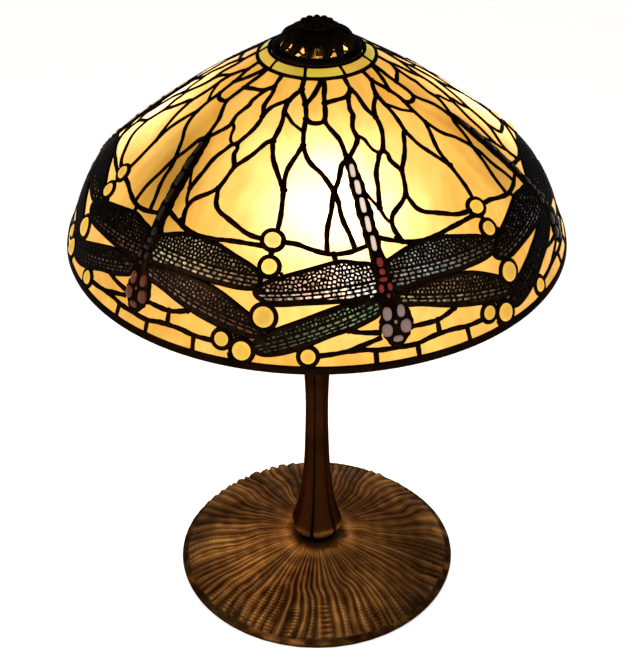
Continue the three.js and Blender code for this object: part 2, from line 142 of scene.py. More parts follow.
# Wing outlines, closed. The first point is at the root.
WINGS = {
    "left_upper": [
        (27, 163), (23, 158.5), (19.2, 156.5), (16, 158.3), (10.5, 163), (5.5, 168), (1.8, 173),
        (-0.2, 177.7), (-0.8, 181.8), (0.8, 186), (4.2, 188.6), (10.5, 186.6), (16.8, 185.6), (23, 185.5),
        (27, 186),
    ],
    "left_lower": [
        (27, 187.5), (23, 186.8), (18.2, 188.8), (13.8, 193.5), (8.8, 200), (4.7, 206), (1.8, 212.3),
        (0.1, 217.7), (0, 222.3), (2, 225.2), (5.5, 223.6), (10, 218.5), (12.6, 214.6), (16.3, 209.4),
        (20.5, 205.4), (23.8, 201.5), (27, 196),
    ],
    "right_upper": [
        (30, 163), (32.2, 158), (36.3, 153.2), (39.7, 151.6), (43.8, 151), (48, 152.8), (53, 157.7),
        (57.6, 163), (59.8, 168.5), (60.3, 173.8), (59, 178.6), (55.5, 180), (50, 179.6), (43.8, 179.2),
        (37.6, 179.6), (31, 182),
    ],
    "right_lower": [
        (31.5, 184.5), (35.5, 182), (39.7, 180.6), (44.7, 181), (49.7, 183.4), (53.4, 187.9), (57.2, 194.6),
        (60, 200.8), (61.5, 207.7), (61, 212.3), (57.6, 212.9), (53, 210), (47.2, 205.4), (42.2, 200.8),
        (36.7, 195.4), (32, 192.3),
    ],
}
# Jewels as (degrees, distance down the slope, radius).
JEWELS = [
    (1.9, 142.7, 5.9), (1.8, 162, 5.7), (1.8, 197.8, 7.6), (11.5, 224.3, 5.4), (53.1, 218.3, 5.4),
    (57.7, 224.2, 7),
]
BIG_JEWEL = 6.5  # jewels with a larger radius stand higher
# Dragonfly's body: centre line with half widths, from the tail's tip to the head.
BODY_SPINE = [
    (25.6, 75, 2.2), (26.2, 81, 4.2), (26.8, 91, 5.2), (27.3, 110, 6), (27.7, 126, 6.2), (28, 140, 6),
    (28.3, 153, 5.8), (28.6, 160, 6.4), (28.7, 168, 6.6), (28.8, 176, 6.8), (29.3, 186, 7.2),
    (29.6, 192, 9.6),
    (30.2, 200, 11.8), (30.4, 208, 12.8), (30.3, 214, 10.8), (30.2, 219, 6.5), (30.2, 221.5, 3),
]
THORAX_START = 155
# Glass set into the body: (degrees, slope, half width, half length, part of the body).
BODY_GLASS = [
    (26.3, 88.5, 1.9, 5.9, "tail"), (26.9, 101.7, 2.2, 6.4, "tail"), (27.3, 115.9, 2.1, 6.8, "tail"),
    (27.6, 130.8, 2, 7, "tail"), (28, 145.8, 2, 6.8, "tail"),
    (28.6, 160.5, 2.6, 4, "thorax"), (28.7, 167.5, 2.4, 2.6, "thorax"), (28.7, 173, 3.2, 1.8, "thorax"),
    (27.9, 179, 1.9, 3.2, "thorax"), (29.9, 178.5, 1.9, 3, "thorax"), (29.2, 184.5, 1.4, 1.8, "thorax"),
    (28.5, 197, 3.4, 5.3, "head"), (31.5, 196.4, 3.2, 4.8, "head"), (30.1, 203.4, 1.3, 1.5, "head"),
    (28.2, 208.6, 4.1, 4.9, "head"), (32.2, 207.4, 4.4, 5.2, "head"), (30.3, 215.6, 4.2, 2.6, "head"),
]

# ---------- colours, linear ----------
AMBER = np.array((0.93, 0.5, 0.08))
DEEP_AMBER = np.array((0.9, 0.38, 0.03))
PALE_AMBER = np.array((0.95, 0.6, 0.15))
JEWEL_TINT = np.array((0.72, 0.415, 0.05))
CROWN_TINT = np.array((0.6, 0.43, 0.045))
# Sheets of glass used for the wings, and the sheet in each wing of the six dragonflies. The darkest sheet is
# painted shade on the two dragonflies that lie in the shadows between the bulbs.
WING_SHEETS = {
    "white": (1.0, 0.8, 0.62), "cream": (0.55, 0.47, 0.28), "pink": (0.3, 0.17, 0.12),
    "green": (0.12, 0.17, 0.085), "slate": (0.19, 0.19, 0.16), "olive": (0.3, 0.235, 0.13),
    "dusk_in_shade": (0.1, 0.055, 0.034),
}
WING_CHOICE = {
    "left_upper": ("white", "slate", "pink", "cream", "green", "dusk_in_shade"),
    "left_lower": ("green", "dusk_in_shade", "olive", "slate", "pink", "dusk_in_shade"),
    "right_upper": ("slate", "dusk_in_shade", "white", "green", "cream", "cream"),
    "right_lower": ("olive", "green", "slate", "white", "olive", "pink"),
}
WING_TIP = (1.05, 0.74, 0.62)  # the glass grows browner towards the tip of a wing
WING_MOTTLE = (0.22, 0.04, -0.06)  # how far each colour drifts within one wing
# Sheets used for the bodies, and the sheet in each part of the six dragonflies. The near-black sheet is
# painted shade on the two dragonflies that lie in the shadows between the bulbs.
BODY_SHEETS = {
    "pearl": (0.6, 0.46, 0.37), "lilac": (0.25, 0.17, 0.165), "garnet": (0.17, 0.01, 0.006),
    "ember": (0.13, 0.028, 0.014), "smoke_in_shade": (0.006, 0.005, 0.005),
}
BODY_CHOICE = {
    "tail": ("pearl", "smoke_in_shade", "pearl", "lilac", "pearl", "smoke_in_shade"),
    "thorax": ("garnet", "smoke_in_shade", "ember", "garnet", "ember", "smoke_in_shade"),
    "head": ("lilac", "smoke_in_shade", "ember", "lilac", "pearl", "ember"),
}


# ---------- curves ----------
def smooth_curve(points, spacing, closed=False):
    """A Catmull-Rom curve through the points, with samples about spacing apart."""
    knots = np.array(points, float)
    count = len(knots)
    if closed:
        padded = np.vstack([knots[-1], knots, knots[:2]])
        spans = count
    else:
        padded = np.vstack([2 * knots[0] - knots[1], knots, 2 * knots[-1] - knots[-2]])
        spans = count - 1
    samples = []
    for i in range(spans):
        a, b, c, d = padded[i:i + 4]
        reach = np.hypot((c[0] - b[0]) * millimetres_per_degree(b[1]), c[1] - b[1])
        steps = max(2, int(math.ceil(reach / spacing)))
        for t in np.arange(steps) / steps:
            samples.append(0.5 * (2 * b + (c - a) * t + (2 * a - 5 * b + 4 * c - d) * t ** 2
                                  + (3 * b - a - 3 * c + d) * t ** 3))
    if not closed:
        samples.append(knots[-1])
    return np.array(samples)


def hermite(t, width, start, end, leave, arrive):
    """Points of a cubic between two knots, from their places and slopes."""
    return ((2 * t ** 3 - 3 * t ** 2 + 1) * start + (t ** 3 - 2 * t ** 2 + t) * width * leave
            + (3 * t ** 2 - 2 * t ** 3) * end + (t ** 3 - t ** 2) * width * arrive)


def smooth_rows(outline, spacing):
    """A smooth curve through (radius, height) pairs."""
    knots = np.array(outline, float)
    length = np.concatenate([[0], np.cumsum(np.hypot(*np.diff(knots, axis=0).T))])
    tangents = np.gradient(knots, length, axis=0)
    rows = []
    for i in range(len(knots) - 1):
        width = length[i + 1] - length[i]
        steps = max(1, int(round(width / spacing)))
        for t in np.arange(steps) / steps:
            rows.append(tuple(hermite(t, width, knots[i], knots[i + 1], tangents[i], tangents[i + 1])))
    rows.append(tuple(knots[-1]))
    return rows


PROFILE = np.array(SHADE_PROFILE, float)
SLOPES = np.concatenate([[0], np.cumsum(np.hypot(*np.diff(PROFILE, axis=0).T))])


def profile_tables():
    """Radius and height of the shade's outer face against distance down the slope, smoothed."""
    tangents = np.gradient(PROFILE, SLOPES, axis=0)
    slopes = np.linspace(0, SLOPES[-1], 1200)
    span = np.clip(np.searchsorted(SLOPES, slopes) - 1, 0, len(SLOPES) - 2)
    width = (SLOPES[span + 1] - SLOPES[span])[:, None]
    t = (slopes - SLOPES[span])[:, None] / width
    curve = hermite(t, width, PROFILE[span], PROFILE[span + 1], tangents[span], tangents[span + 1])
    along = np.gradient(curve, slopes, axis=0)
    along /= np.linalg.norm(along, axis=1)[:, None]
    return slopes, curve, along


TABLE_SLOPES, TABLE_CURVE, TABLE_ALONG = profile_tables()


def shade_section(slope):
    """Radius, height and outward normal of the shade at a distance down the slope."""
    columns = (TABLE_CURVE[:, 0], TABLE_CURVE[:, 1], -TABLE_ALONG[:, 1], TABLE_ALONG[:, 0])
    return [np.interp(slope, TABLE_SLOPES, column) for column in columns]


def millimetres_per_degree(slope):
    """Distance round the shade taken up by one degree."""
    return math.radians(1) * np.interp(slope, TABLE_SLOPES, TABLE_CURVE[:, 0])


def drifted(azimuth, slope):
    """Where a place in the regular pattern really lies."""
    turn = (azimuth + 180) % 360 - 180
    aside = np.interp(turn, DRIFT_AZIMUTHS, DRIFT_ASIDE) * np.interp(slope, DRIFT_SLOPES, SHARE_ASIDE)
    down = np.interp(turn, DRIFT_AZIMUTHS, DRIFT_DOWN) * np.interp(slope, DRIFT_SLOPES, SHARE_DOWN)
    return azimuth + aside, slope + down


def circle_row(angle, radius, height):
    """Points at the given azimuths in radians, radii and heights."""
    return np.stack([radius * np.sin(angle), -radius * np.cos(angle), height + 0 * angle], -1)


def on_shade(azimuth, slope, proud=0.0):
    """Points on the shade, in millimetres, standing proud of the outer face."""
    azimuth, slope = drifted(azimuth, slope)
    radius, height, normal_r, normal_z = shade_section(slope)
    return circle_row(np.radians(azimuth), radius + proud * normal_r, height + proud * normal_z)


def shade_normal(azimuth, slope):
    """Outward directions at points on the shade."""
    azimuth, slope = drifted(azimuth, slope)
    normal_r, normal_z = shade_section(slope)[2:]
    return circle_row(np.radians(azimuth), normal_r, normal_z)


def repeat_azimuth(degrees, repeat):
    """Azimuth of a place that lies so many degrees into a repeat."""
    return PATTERN_START + degrees + STEP * repeat


def smooth_noise(x, y, seed):
    """Gentle noise between -1 and 1 made of a few waves."""
    draw = np.random.default_rng(seed)
    total = 0
    for _ in range(5):
        kx, ky, phase = draw.uniform(-1, 1), draw.uniform(-1, 1), draw.uniform(0, 2 * np.pi)
        total = total + np.sin(kx * x + ky * y + phase)
    return total / 3


# ---------- mesh building ----------
class Shape:
    """Collects vertices and faces of one piece, with optional values per vertex."""

    def __init__(self):
        self.points, self.faces, self.values, self.count = [], [], {}, 0

    def add(self, points, faces, **values):
        """Adds corners and faces. A value is given once for all the corners or once for each."""
        points = np.asarray(points, float).reshape(-1, 3)
        self.points.append(points)
        self.faces.extend([tuple(int(v) + self.count for v in face) for face in faces])
        for name, value in values.items():
            value = np.asarray(value, float)
            if value.ndim < 2 and value.shape != (len(points),):
                value = np.broadcast_to(value, (len(points),) + value.shape)
            self.values.setdefault(name, []).append(value)
        self.count += len(points)

    def build(self, name, material, body, slot, replaces=(), smooth=True):
        """Makes the piece, in metres, ties it to its body and hides the CAD pieces it replaces. The slot is
        not used.
        """
        mesh = bpy.data.meshes.new(name)
        points = np.concatenate(self.points) * MM
        mesh.from_pydata(points.tolist(), [], self.faces)
        mesh.polygons.foreach_set("use_smooth", np.full(len(mesh.polygons), smooth))
        for key, parts in self.values.items():
            data = np.concatenate(parts)
            if data.ndim == 1:
                mesh.attributes.new(key, "FLOAT", "POINT").data.foreach_set("value", data)
            elif data.shape[1] == 3 and key == "grain":
                mesh.attributes.new(key, "FLOAT_VECTOR", "POINT").data.foreach_set("vector", data.ravel())
            else:
                rgba = np.concatenate([data, np.ones((len(data), 1))], axis=1)
                mesh.attributes.new(key, "FLOAT_COLOR", "POINT").data.foreach_set("color", rgba.ravel())
        mesh.update()
        piece = bpy.data.objects.new(name, mesh)
        bpy.context.collection.objects.link(piece)
        mesh.materials.append(material)
        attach(piece, body)
        if replaces:
            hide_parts(*replaces)
        return piece


def ring_faces(rings, sides, closed_path=False):
    """Quads between successive closed rings of points."""
    faces = []
    for i in range(rings if closed_path else rings - 1):
        nxt = (i + 1) % rings
        for j in range(sides):
            k = (j + 1) % sides
            faces.append((i * sides + j, i * sides + k, nxt * sides + k, nxt * sides + j))
    return faces


def grid_faces(rows, columns):
    """Quads of an open grid of corners."""
    corners = [(i * (columns + 1) + j, columns + 1) for i in range(rows) for j in range(columns)]
    return [(here, here + down, here + down + 1, here + 1) for here, down in corners]


def slab_faces(faces, count):
    """Adds the reversed inner faces and the side walls to the outer faces of a slab."""
    edges = {}
    for face in faces:
        for a, b in zip(face, face[1:] + face[:1]):
            edges[(a, b)] = edges.get((a, b), 0) + 1
    walls = [(b, a, a + count, b + count) for a, b in edges if (b, a) not in edges]
    return list(faces) + [tuple(v + count for v in face[::-1]) for face in faces] + walls


def add_slab(shape, outer, inner, faces, **values):
    """Adds a closed slab whose outer and inner corners share their values."""
    doubled = {name: np.concatenate([value, value]) for name, value in values.items()}
    shape.add(np.concatenate([outer, inner]), faces, **doubled)


def revolve(outline, sides, radius_at=None):
    """A solid of revolution from (radius, height) pairs. Rows on the axis become single points."""
    angle = np.linspace(0, 2 * np.pi, sides, endpoint=False)
    points, rows, faces = [], [], []
    for radius, height in outline:
        if radius < 1e-6:
            rows.append([len(points)] * sides)
            points.append((0, 0, height))
            continue
        reach = radius if radius_at is None else radius_at(radius, height, angle)
        rows.append(list(range(len(points), len(points) + sides)))
        points.extend(circle_row(angle, reach, height).tolist())
    closed = outline[0][0] > 1e-6 or outline[-1][0] > 1e-6
    pairs = list(zip(rows, rows[1:] + ([rows[0]] if closed else [])))
    for low, high in pairs[:len(rows) if closed else len(rows) - 1]:
        for j in range(sides):
            k = (j + 1) % sides
            corners = [low[j], low[k], high[k], high[j]]
            face = [v for n, v in enumerate(corners) if v != corners[n - 1]]
            if len(face) > 2:
                faces.append(face)
    return np.array(points), faces


def bead(centre, radius, sides=8, rings=5):
    """A small ball."""
    outline = [(radius * math.sin(math.pi * i / rings), -radius * math.cos(math.pi * i / rings))
               for i in range(rings + 1)]
    outline[0], outline[-1] = (0, -radius), (0, radius)
    points, faces = revolve(outline, sides)
    return points + np.array(centre), faces


def rounded(outline, radius=0.5, steps=2):
    """The same outline with each inner corner cut back by short arcs."""
    result = [outline[0]]
    for before, corner, after in zip(outline, outline[1:], outline[2:]):
        before, corner, after = (np.array(p, float) for p in (before, corner, after))
        reach = min(radius, np.linalg.norm(before - corner) / 2.2, np.linalg.norm(after - corner) / 2.2)
        start = corner + (before - corner) / max(np.linalg.norm(before - corner), 1e-6) * reach
        end = corner + (after - corner) / max(np.linalg.norm(after - corner), 1e-6) * reach
        for t in np.linspace(0, 1, steps + 1):
            result.append(tuple((1 - t) ** 2 * start + 2 * t * (1 - t) * corner + t ** 2 * end))
    result.append(outline[-1])
    return result


LEAD_SIDES = 10


def add_lead(shape, path, half_width, repeat, closed=False, low=-GLASS - 0.6, high=LEAD_PROUD, seed=0.0):
    """A soldered lead line: an oval bar through the glass, proud of both faces."""
    azimuth = repeat_azimuth(path[:, 0], repeat)
    slope = path[:, 1]
    middle, rise = (high + low) / 2, (high - low) / 2
    centre = on_shade(azimuth, slope, middle)
    normal = shade_normal(azimuth, slope)
    if closed:
        tangent = np.roll(centre, -1, axis=0) - np.roll(centre, 1, axis=0)
    else:
        tangent = np.gradient(centre, axis=0)
    tangent /= np.linalg.norm(tangent, axis=1)[:, None]
    across = np.cross(tangent, normal)
    across /= np.linalg.norm(across, axis=1)[:, None]
    length = np.concatenate([[0], np.cumsum(np.linalg.norm(np.diff(centre, axis=0), axis=1))])
    width = np.broadcast_to(half_width, slope.shape)
    if not closed:
        width = width * (1 + 0.09 * np.sin(length * 0.31 + seed) + 0.05 * np.sin(length * 0.83 + 2 * seed))
    turn = np.linspace(0, 2 * np.pi, LEAD_SIDES, endpoint=False)
    wide = np.sign(np.cos(turn)) * np.abs(np.cos(turn)) ** 0.8
    rings = (centre[:, None] + across[:, None] * (width[:, None] * wide)[..., None]
             + normal[:, None] * (rise * np.sin(turn))[None, :, None])
    faces = ring_faces(len(rings), LEAD_SIDES, closed)
    if not closed:
        faces.append(tuple(range(LEAD_SIDES))[::-1])
        faces.append(tuple((len(rings) - 1) * LEAD_SIDES + j for j in range(LEAD_SIDES)))
    shape.add(rings, faces)


def add_dome(shape, degrees, slope, half_wide, half_long, base, top, repeat,
             rings=5, sides=20, square=1.0, **values):
    """An oval pad with a rounded top and a flatter underside. A low value of square gives squarer ends."""
    angle = np.linspace(0, 2 * np.pi, sides, endpoint=False)
    across = np.sign(np.cos(angle)) * np.abs(np.cos(angle)) ** square
    along = np.sign(np.sin(angle)) * np.abs(np.sin(angle)) ** square
    heights, reaches = [], []
    for i in range(rings):
        lift = (math.pi / 2) * i / rings
        heights.append(base + (top - base) * math.sin(lift))
        reaches.append(math.cos(lift))
    per_degree = millimetres_per_degree(slope)
    rows = []
    for reach, height in [(0.6, base - 1.2)] + list(zip(reaches, heights)):
        aside = half_wide * reach * across / per_degree
        down = half_long * reach * along
        rows.append(on_shade(repeat_azimuth(degrees + aside, repeat), slope + down, height))
    points = np.concatenate(rows + [on_shade(repeat_azimuth(degrees, repeat), slope, top)[None]])
    count = len(rows)
    faces = ring_faces(count, sides)
    apex = count * sides
    faces.extend(((count - 1) * sides + j, (count - 1) * sides + (j + 1) % sides, apex) for j in range(sides))
    faces.append(tuple(range(sides))[::-1])
    edge = np.concatenate([np.full(sides, 1.0)] + [np.full(sides, r) for r in reaches] + [[0.0]])
    given = {name: value(edge) if callable(value) else value for name, value in values.items()}
    shape.add(points, faces, **given)


# ---------- light from the bulbs ----------
BULB_AZIMUTHS = np.radians(LIGHT_AZIMUTH + np.arange(LIGHTS) * 360 / LIGHTS)
BULBS = circle_row(BULB_AZIMUTHS, BULB_DISTANCE, BULB_HEIGHT)
ROOM_LIGHT, BULB_LIGHT, BULB_GAP, BULB_FADE = 0.5, 2.9, 40.0, 1.5
# Soft shadows between the bulbs: azimuth at SHADOW_HEIGHT, depth, width in degrees, lean in degrees per mm.
SHADOWS = [(-54, 0.62, 15, -0.22), (73, 0.46, 11, 0.1), (190, 0.5, 11, 0)]
SHADOW_HEIGHT, SHADOW_TALL = 452, 34
CROWN_LIGHT = ([475, 512], [1, 0.83])  # heights between which the light falls off, and its share there


def light_through(points):
    """How brightly the bulbs light the glass from behind."""
    nearest = np.min([np.linalg.norm(points - bulb, axis=1) for bulb in BULBS], axis=0)
    light = ROOM_LIGHT + BULB_LIGHT * (BULB_GAP / nearest) ** BULB_FADE
    azimuth = np.degrees(np.arctan2(points[:, 0], -points[:, 1]))
    above = points[:, 2] - SHADOW_HEIGHT
    for middle, depth, wide, lean in SHADOWS:
        turn = (azimuth - middle - lean * above + 180) % 360 - 180
        light *= 1 - depth * np.exp(-(turn / wide) ** 2 - (above / SHADOW_TALL) ** 2)
    return light * np.interp(points[:, 2], *CROWN_LIGHT)


def whitened(tint, light):
    """Strongly lit glass looks paler, because its milk scatters the light, and dim glass looks deeper."""
    glare = 0.4 * np.clip(light - 1, 0, 2.2) ** 2 / light
    dim = np.clip(1 - light, 0, 1)
    return np.asarray(tint) * (1 - dim[:, None] * (0, 0.12, 0.9)) + glare[:, None]


# ---------- materials ----------
class Surface:
    """A node material built round one Principled shader."""

    def __init__(self, name, **constants):
        self.material = bpy.data.materials.new(name)
        self.material.use_nodes = True
        self.tree = self.material.node_tree
        self.shader = self.tree.nodes["Principled BSDF"]
        for socket, value in constants.items():
            self.shader.inputs[socket.replace("_", " ")].default_value = value

    def node(self, kind, *links, **settings):
        """Adds a node. links are (input name or number, value or socket)."""
        made = self.tree.nodes.new(kind)
        for key, value in settings.items():
            setattr(made, key, value)
        for key, value in links:
            if isinstance(value, bpy.types.NodeSocket):
                self.tree.links.new(value, made.inputs[key])
            else:
                made.inputs[key].default_value = value
        return made

    def attribute(self, name, output="Color"):
        """A value stored with the corners of the mesh."""
        return self.node("ShaderNodeAttribute", attribute_name=name).outputs[output]

    def place(self):
        """The place on the object, in millimetres."""
        return self.scaled(self.node("ShaderNodeTexCoord").outputs["Object"], (1 / MM, 1 / MM, 1 / MM))

    def scaled(self, vector, scale):
        """A vector with its parts multiplied."""
        return self.node("ShaderNodeMapping", ("Vector", vector), ("Scale", scale)).outputs["Vector"]

    def noise(self, vector, scale, detail=3.0, roughness=0.5):
        """Cloudy noise from 0 to 1."""
        made = self.node("ShaderNodeTexNoise", ("Vector", vector), ("Scale", scale),
                         ("Detail", detail), ("Roughness", roughness))
        return made.outputs["Fac"]

    def maths(self, operation, a, b):
        """The sum, difference or product of two values."""
        return self.node("ShaderNodeMath", (0, a), (1, b), operation=operation).outputs[0]

    def spread(self, value, low, high, to_low=0.0, to_high=1.0):
        """Maps the range from low to high to another range, and stays within it."""
        made = self.node("ShaderNodeMapRange", ("Value", value), ("From Min", low), ("From Max", high),
                         ("To Min", to_low), ("To Max", to_high))
        return made.outputs["Result"]

    def blend(self, factor, a, b, mode="MIX"):
        """Mixes two colours."""
        made = self.tree.nodes.new("ShaderNodeMix")
        made.data_type, made.blend_type = "RGBA", mode
        for index, value in ((0, factor), (6, a), (7, b)):
            if isinstance(value, bpy.types.NodeSocket):
                self.tree.links.new(value, made.inputs[index])
            else:
                made.inputs[index].default_value = value if index == 0 else (*value, 1)
        return made.outputs[2]

    def set(self, socket, value):
        """Links a value to an input of the shader."""
        self.tree.links.new(value, self.shader.inputs[socket])

    def bump(self, height, strength, distance):
        """Raises the surface by so many millimetres in shading."""
        made = self.node("ShaderNodeBump", ("Height", height), ("Strength", strength),
                         ("Distance", distance * MM))
        self.set("Normal", made.outputs["Normal"])


def glass_material(name, streak, roughness):
    """Opalescent glass: milky streaks that run differently in each piece, lit from behind."""
    look = Surface(name, Roughness=roughness, Specular_IOR_Level=0.1)
    grain = look.attribute("grain", "Vector")
    tint = look.attribute("tint")
    wisps = look.noise(look.scaled(grain, (1, 0.16, 1)), 0.1, 3.0, 0.5)
    mottle = look.noise(grain, 0.035, 2.0)
    milk = look.spread(look.maths("ADD", wisps, mottle), 0.75, 1.3)
    deep = look.blend(1.0, tint, tint, "MULTIPLY")
    colour = look.blend(look.maths("MULTIPLY", look.maths("SUBTRACT", 1.0, milk), streak), tint, deep)
    pale = look.blend(look.maths("MULTIPLY", milk, 0.12 * streak), colour, (1.0, 0.85, 0.55))
    look.set("Base Color", look.blend(0.8, pale, (0.02, 0.015, 0.01)))
    look.set("Emission Color", pale)
    flicker = look.spread(milk, 0, 1, 0.92, 1.08)
    look.set("Emission Strength", look.maths("MULTIPLY", look.attribute("light", "Fac"), flicker))
    look.bump(look.noise(grain, 0.35, 3.0), 0.25, 0.6)
    return look.material


def patina_material(name, dark, bright, roughness, wear_scale=0.09):
    """Chemically darkened metal with a cloudy tone and fine pitting."""
    look = Surface(name, Metallic=0.9, Specular_IOR_Level=0.2, Specular_Tint=(*bright, 1))
    place = look.place()
    clouds = look.noise(place, wear_scale, 5.0, 0.6)
    pits = look.noise(place, 1.1, 3.0, 0.6)
    tone = look.spread(look.maths("ADD", clouds, look.maths("MULTIPLY", pits, 0.4)), 0.5, 0.95)
    look.set("Base Color", look.blend(tone, dark, bright))
    look.set("Roughness", look.spread(clouds, 0.3, 0.7, roughness - 0.08, roughness + 0.1))
    look.bump(pits, 0.3, 0.25)
    return look.material


def bronze_material(name, recess_and_shade, body, rubbed_and_highlit, green, metallic):
    """Cast bronze: dark in the recesses, partly patina and partly painted shade, rubbed gold on the ridges,
    partly wear and partly painted highlight, with a little green.
    """
    look = Surface(name, Metallic=metallic, Specular_IOR_Level=0.1, Specular_Tint=(*body, 1))
    place = look.place()
    clouds = look.noise(place, 0.03, 4.0, 0.6)
    speckle = look.noise(place, 0.7, 4.0, 0.65)
    # The value stored with the corners holds real wear together with painted highlights and painted shade.
    worn = look.attribute("worn", "Fac")
    grit = look.noise(place, 2.2, 2.0, 0.7)
    rough = look.maths("ADD", look.maths("MULTIPLY", look.maths("SUBTRACT", speckle, 0.5), 0.5),
                       look.maths("MULTIPLY", look.maths("SUBTRACT", grit, 0.5), 0.8))
    height = look.maths("ADD", worn, rough)
    # Low values fall to the recess colour, partly patina and partly painted shade; high values take the
    # rubbed gold, partly wear and partly painted highlight.
    base = look.blend(look.spread(height, 0.1, 0.5), recess_and_shade, body)
    rubbing_and_highlight = look.maths("MULTIPLY", look.spread(height, 0.55, 0.95), look.spread(clouds, 0.3, 0.62))
    gold = look.blend(rubbing_and_highlight, base, rubbed_and_highlit)
    patches = look.spread(clouds, 0.42, 0.58, 0, 0.32)
    verdigris = look.maths("MULTIPLY", look.spread(speckle, 0.42, 0.62), patches)
    tarnish = look.spread(look.noise(place, 0.017, 3.0, 0.55), 0.47, 0.62, 0, 0.5)
    look.set("Base Color", look.blend(tarnish, look.blend(verdigris, gold, green), recess_and_shade))
    look.set("Roughness", look.spread(speckle, 0.3, 0.7, 0.42, 0.62))
    look.bump(speckle, 0.45, 0.5)
    return look.material


def plain_material(name, colour, roughness, metallic=0.0):
    """A small fitting's finish: slightly uneven colour, roughness and surface."""
    look = Surface(name, Metallic=metallic)
    place = look.place()
    tone = look.noise(place, 0.5, 4.0, 0.6)
    dark = tuple(0.75 * c for c in colour)
    look.set("Base Color", look.blend(look.spread(tone, 0.3, 0.7), dark, colour))
    look.set("Roughness", look.spread(tone, 0.3, 0.7, roughness - 0.06, roughness + 0.08))
    look.bump(tone, 0.2, 0.15)
    return look.material


def felt_material():
    """Green felt with a fine fibre."""
    look = Surface("felt", Roughness=0.95, Sheen_Weight=0.6)
    place = look.place()
    fibre = look.noise(place, 2.2, 5.0, 0.7)
    look.set("Base Color", look.blend(fibre, (0.02, 0.035, 0.018), (0.07, 0.1, 0.055)))
    look.bump(fibre, 0.8, 0.5)
    return look.material


def bulb_material():
    """A lit bulb of frosted glass."""
    look = Surface("bulb_glass", Roughness=0.2, Emission_Color=(1.0, 0.78, 0.45, 1))
    place = look.place()
    frost = look.noise(place, 0.6, 3.0)
    look.set("Base Color", look.blend(frost, (0.9, 0.86, 0.78), (1.0, 0.97, 0.9)))
    look.set("Emission Strength", look.spread(frost, 0.3, 0.7, 12, 14))
    return look.material


GLASS_SURFACE = glass_material("art_glass", 0.3, 0.2)
CABOCHON_SURFACE = glass_material("cabochon_glass", 0.07, 0.12)
LEAD_SURFACE = patina_material("leading", (0.003, 0.0015, 0.001), (0.016, 0.006, 0.002), 0.4)
FILIGREE_SURFACE = patina_material("filigree", (0.003, 0.0017, 0.001), (0.021, 0.0115, 0.006), 0.42, 0.2)
CAP_SURFACE = patina_material("cap_bronze", (0.003, 0.002, 0.001), (0.02, 0.011, 0.005), 0.4, 0.12)
BASE_SURFACE = bronze_material("foot_bronze", (0.018, 0.006, 0.0015), (0.136, 0.064, 0.02),
                               (0.52, 0.28, 0.095), (0.16, 0.12, 0.05), 0.6)
STEM_SURFACE = bronze_material("stem_bronze", (0.004, 0.0018, 0.0006), (0.045, 0.014, 0.003),
                               (0.8, 0.33, 0.08), (0.04, 0.022, 0.008), 1.0)
BRASS_SURFACE = plain_material("aged_brass", (0.5, 0.34, 0.12), 0.32, 0.9)
IRON_SURFACE = plain_material("iron", (0.1, 0.095, 0.09), 0.6, 0.6)
RUBBER_SURFACE = plain_material("rubber", (0.02, 0.018, 0.016), 0.75)
FELT_SURFACE = felt_material()
BULB_SURFACE = bulb_material()


# ---------- pattern of the shade ----------
COLUMNS, ROWS = 128, 126  # grid of one repeat between the crown and the rim
DEGREES_PER_COLUMN = STEP / COLUMNS
ROW_SLOPES = np.linspace(CROWN_END - 0.4, GLASS_END, ROWS + 1)
CURVE_SPACING = 2.2
SMALLEST_PIECE = 11  # grid squares; anything smaller is filled with solder
TIP_REACH, TIP_FACTOR = 8, 3  # within so many degrees of the wing tips the smallest piece is larger
SOLDER_SPOT = 1.7  # radius of the puddles that fill such a gap
JEWEL_SEAT = 0.6  # the sheets of glass stop this far from a jewel's edge


def pattern_paths():
    """Every lead line of a repeat as (samples, half width, closed)."""
    paths = [(smooth_curve(line, CURVE_SPACING), LEAD, False) for line in BOLD_LINES]
    paths += [(smooth_curve(line, CURVE_SPACING), FINE_LEAD, False) for line in FINE_LINES]
    paths += [(smooth_curve(line, CURVE_SPACING, closed=True), WING_LEAD, True) for line in WINGS.values()]
    return paths


PATHS = pattern_paths()
SPINE = smooth_curve([place[:2] for place in BODY_SPINE], 2.0)
SPINE_WIDTH = np.interp(SPINE[:, 1], *np.array(BODY_SPINE).T[1:])


def lead_tree():
    """The lead lines of a repeat and its neighbours as points on the shade, and their half widths."""
    samples, widths = [], []
    for path, half_width, closed in PATHS:
        line = np.vstack([path, path[:1]]) if closed else path
        for start, end in zip(line, line[1:]):
            for t in (0, 0.33, 0.67):
                samples.append(start + (end - start) * t)
                widths.append(half_width)
    flat = np.array(samples)
    tree = KDTree(3 * len(flat))
    for turn in (-1, 0, 1):
        for i, point in enumerate(on_shade(flat[:, 0] + STEP * turn, flat[:, 1])):
            tree.insert(point, i)
    tree.balance()
    return tree, widths


LEAD_TREE, LEAD_WIDTHS = lead_tree()
NO_BODY = -50  # stands for the body's half width where there is no body


def lead_clearance(degrees, slope):
    """Distance in millimetres from points of a repeat to the edge of the nearest lead."""
    result = np.empty(len(degrees))
    for i, point in enumerate(on_shade(degrees, slope)):
        _, nearest, distance = LEAD_TREE.find(point)
        result[i] = distance - LEAD_WIDTHS[nearest]
    per_degree = millimetres_per_degree(slope)
    middle = np.interp(slope, SPINE[:, 1], SPINE[:, 0])
    width = np.interp(slope, SPINE[:, 1], SPINE_WIDTH, left=NO_BODY, right=NO_BODY)
    for turn in (-1, 0, 1):
        beside = np.abs(degrees - middle - STEP * turn) * per_degree
        result = np.minimum(result, beside - width)
    jewel = jewel_clearance(degrees, slope)
    return np.minimum(result, jewel - 2 * RING_LEAD)


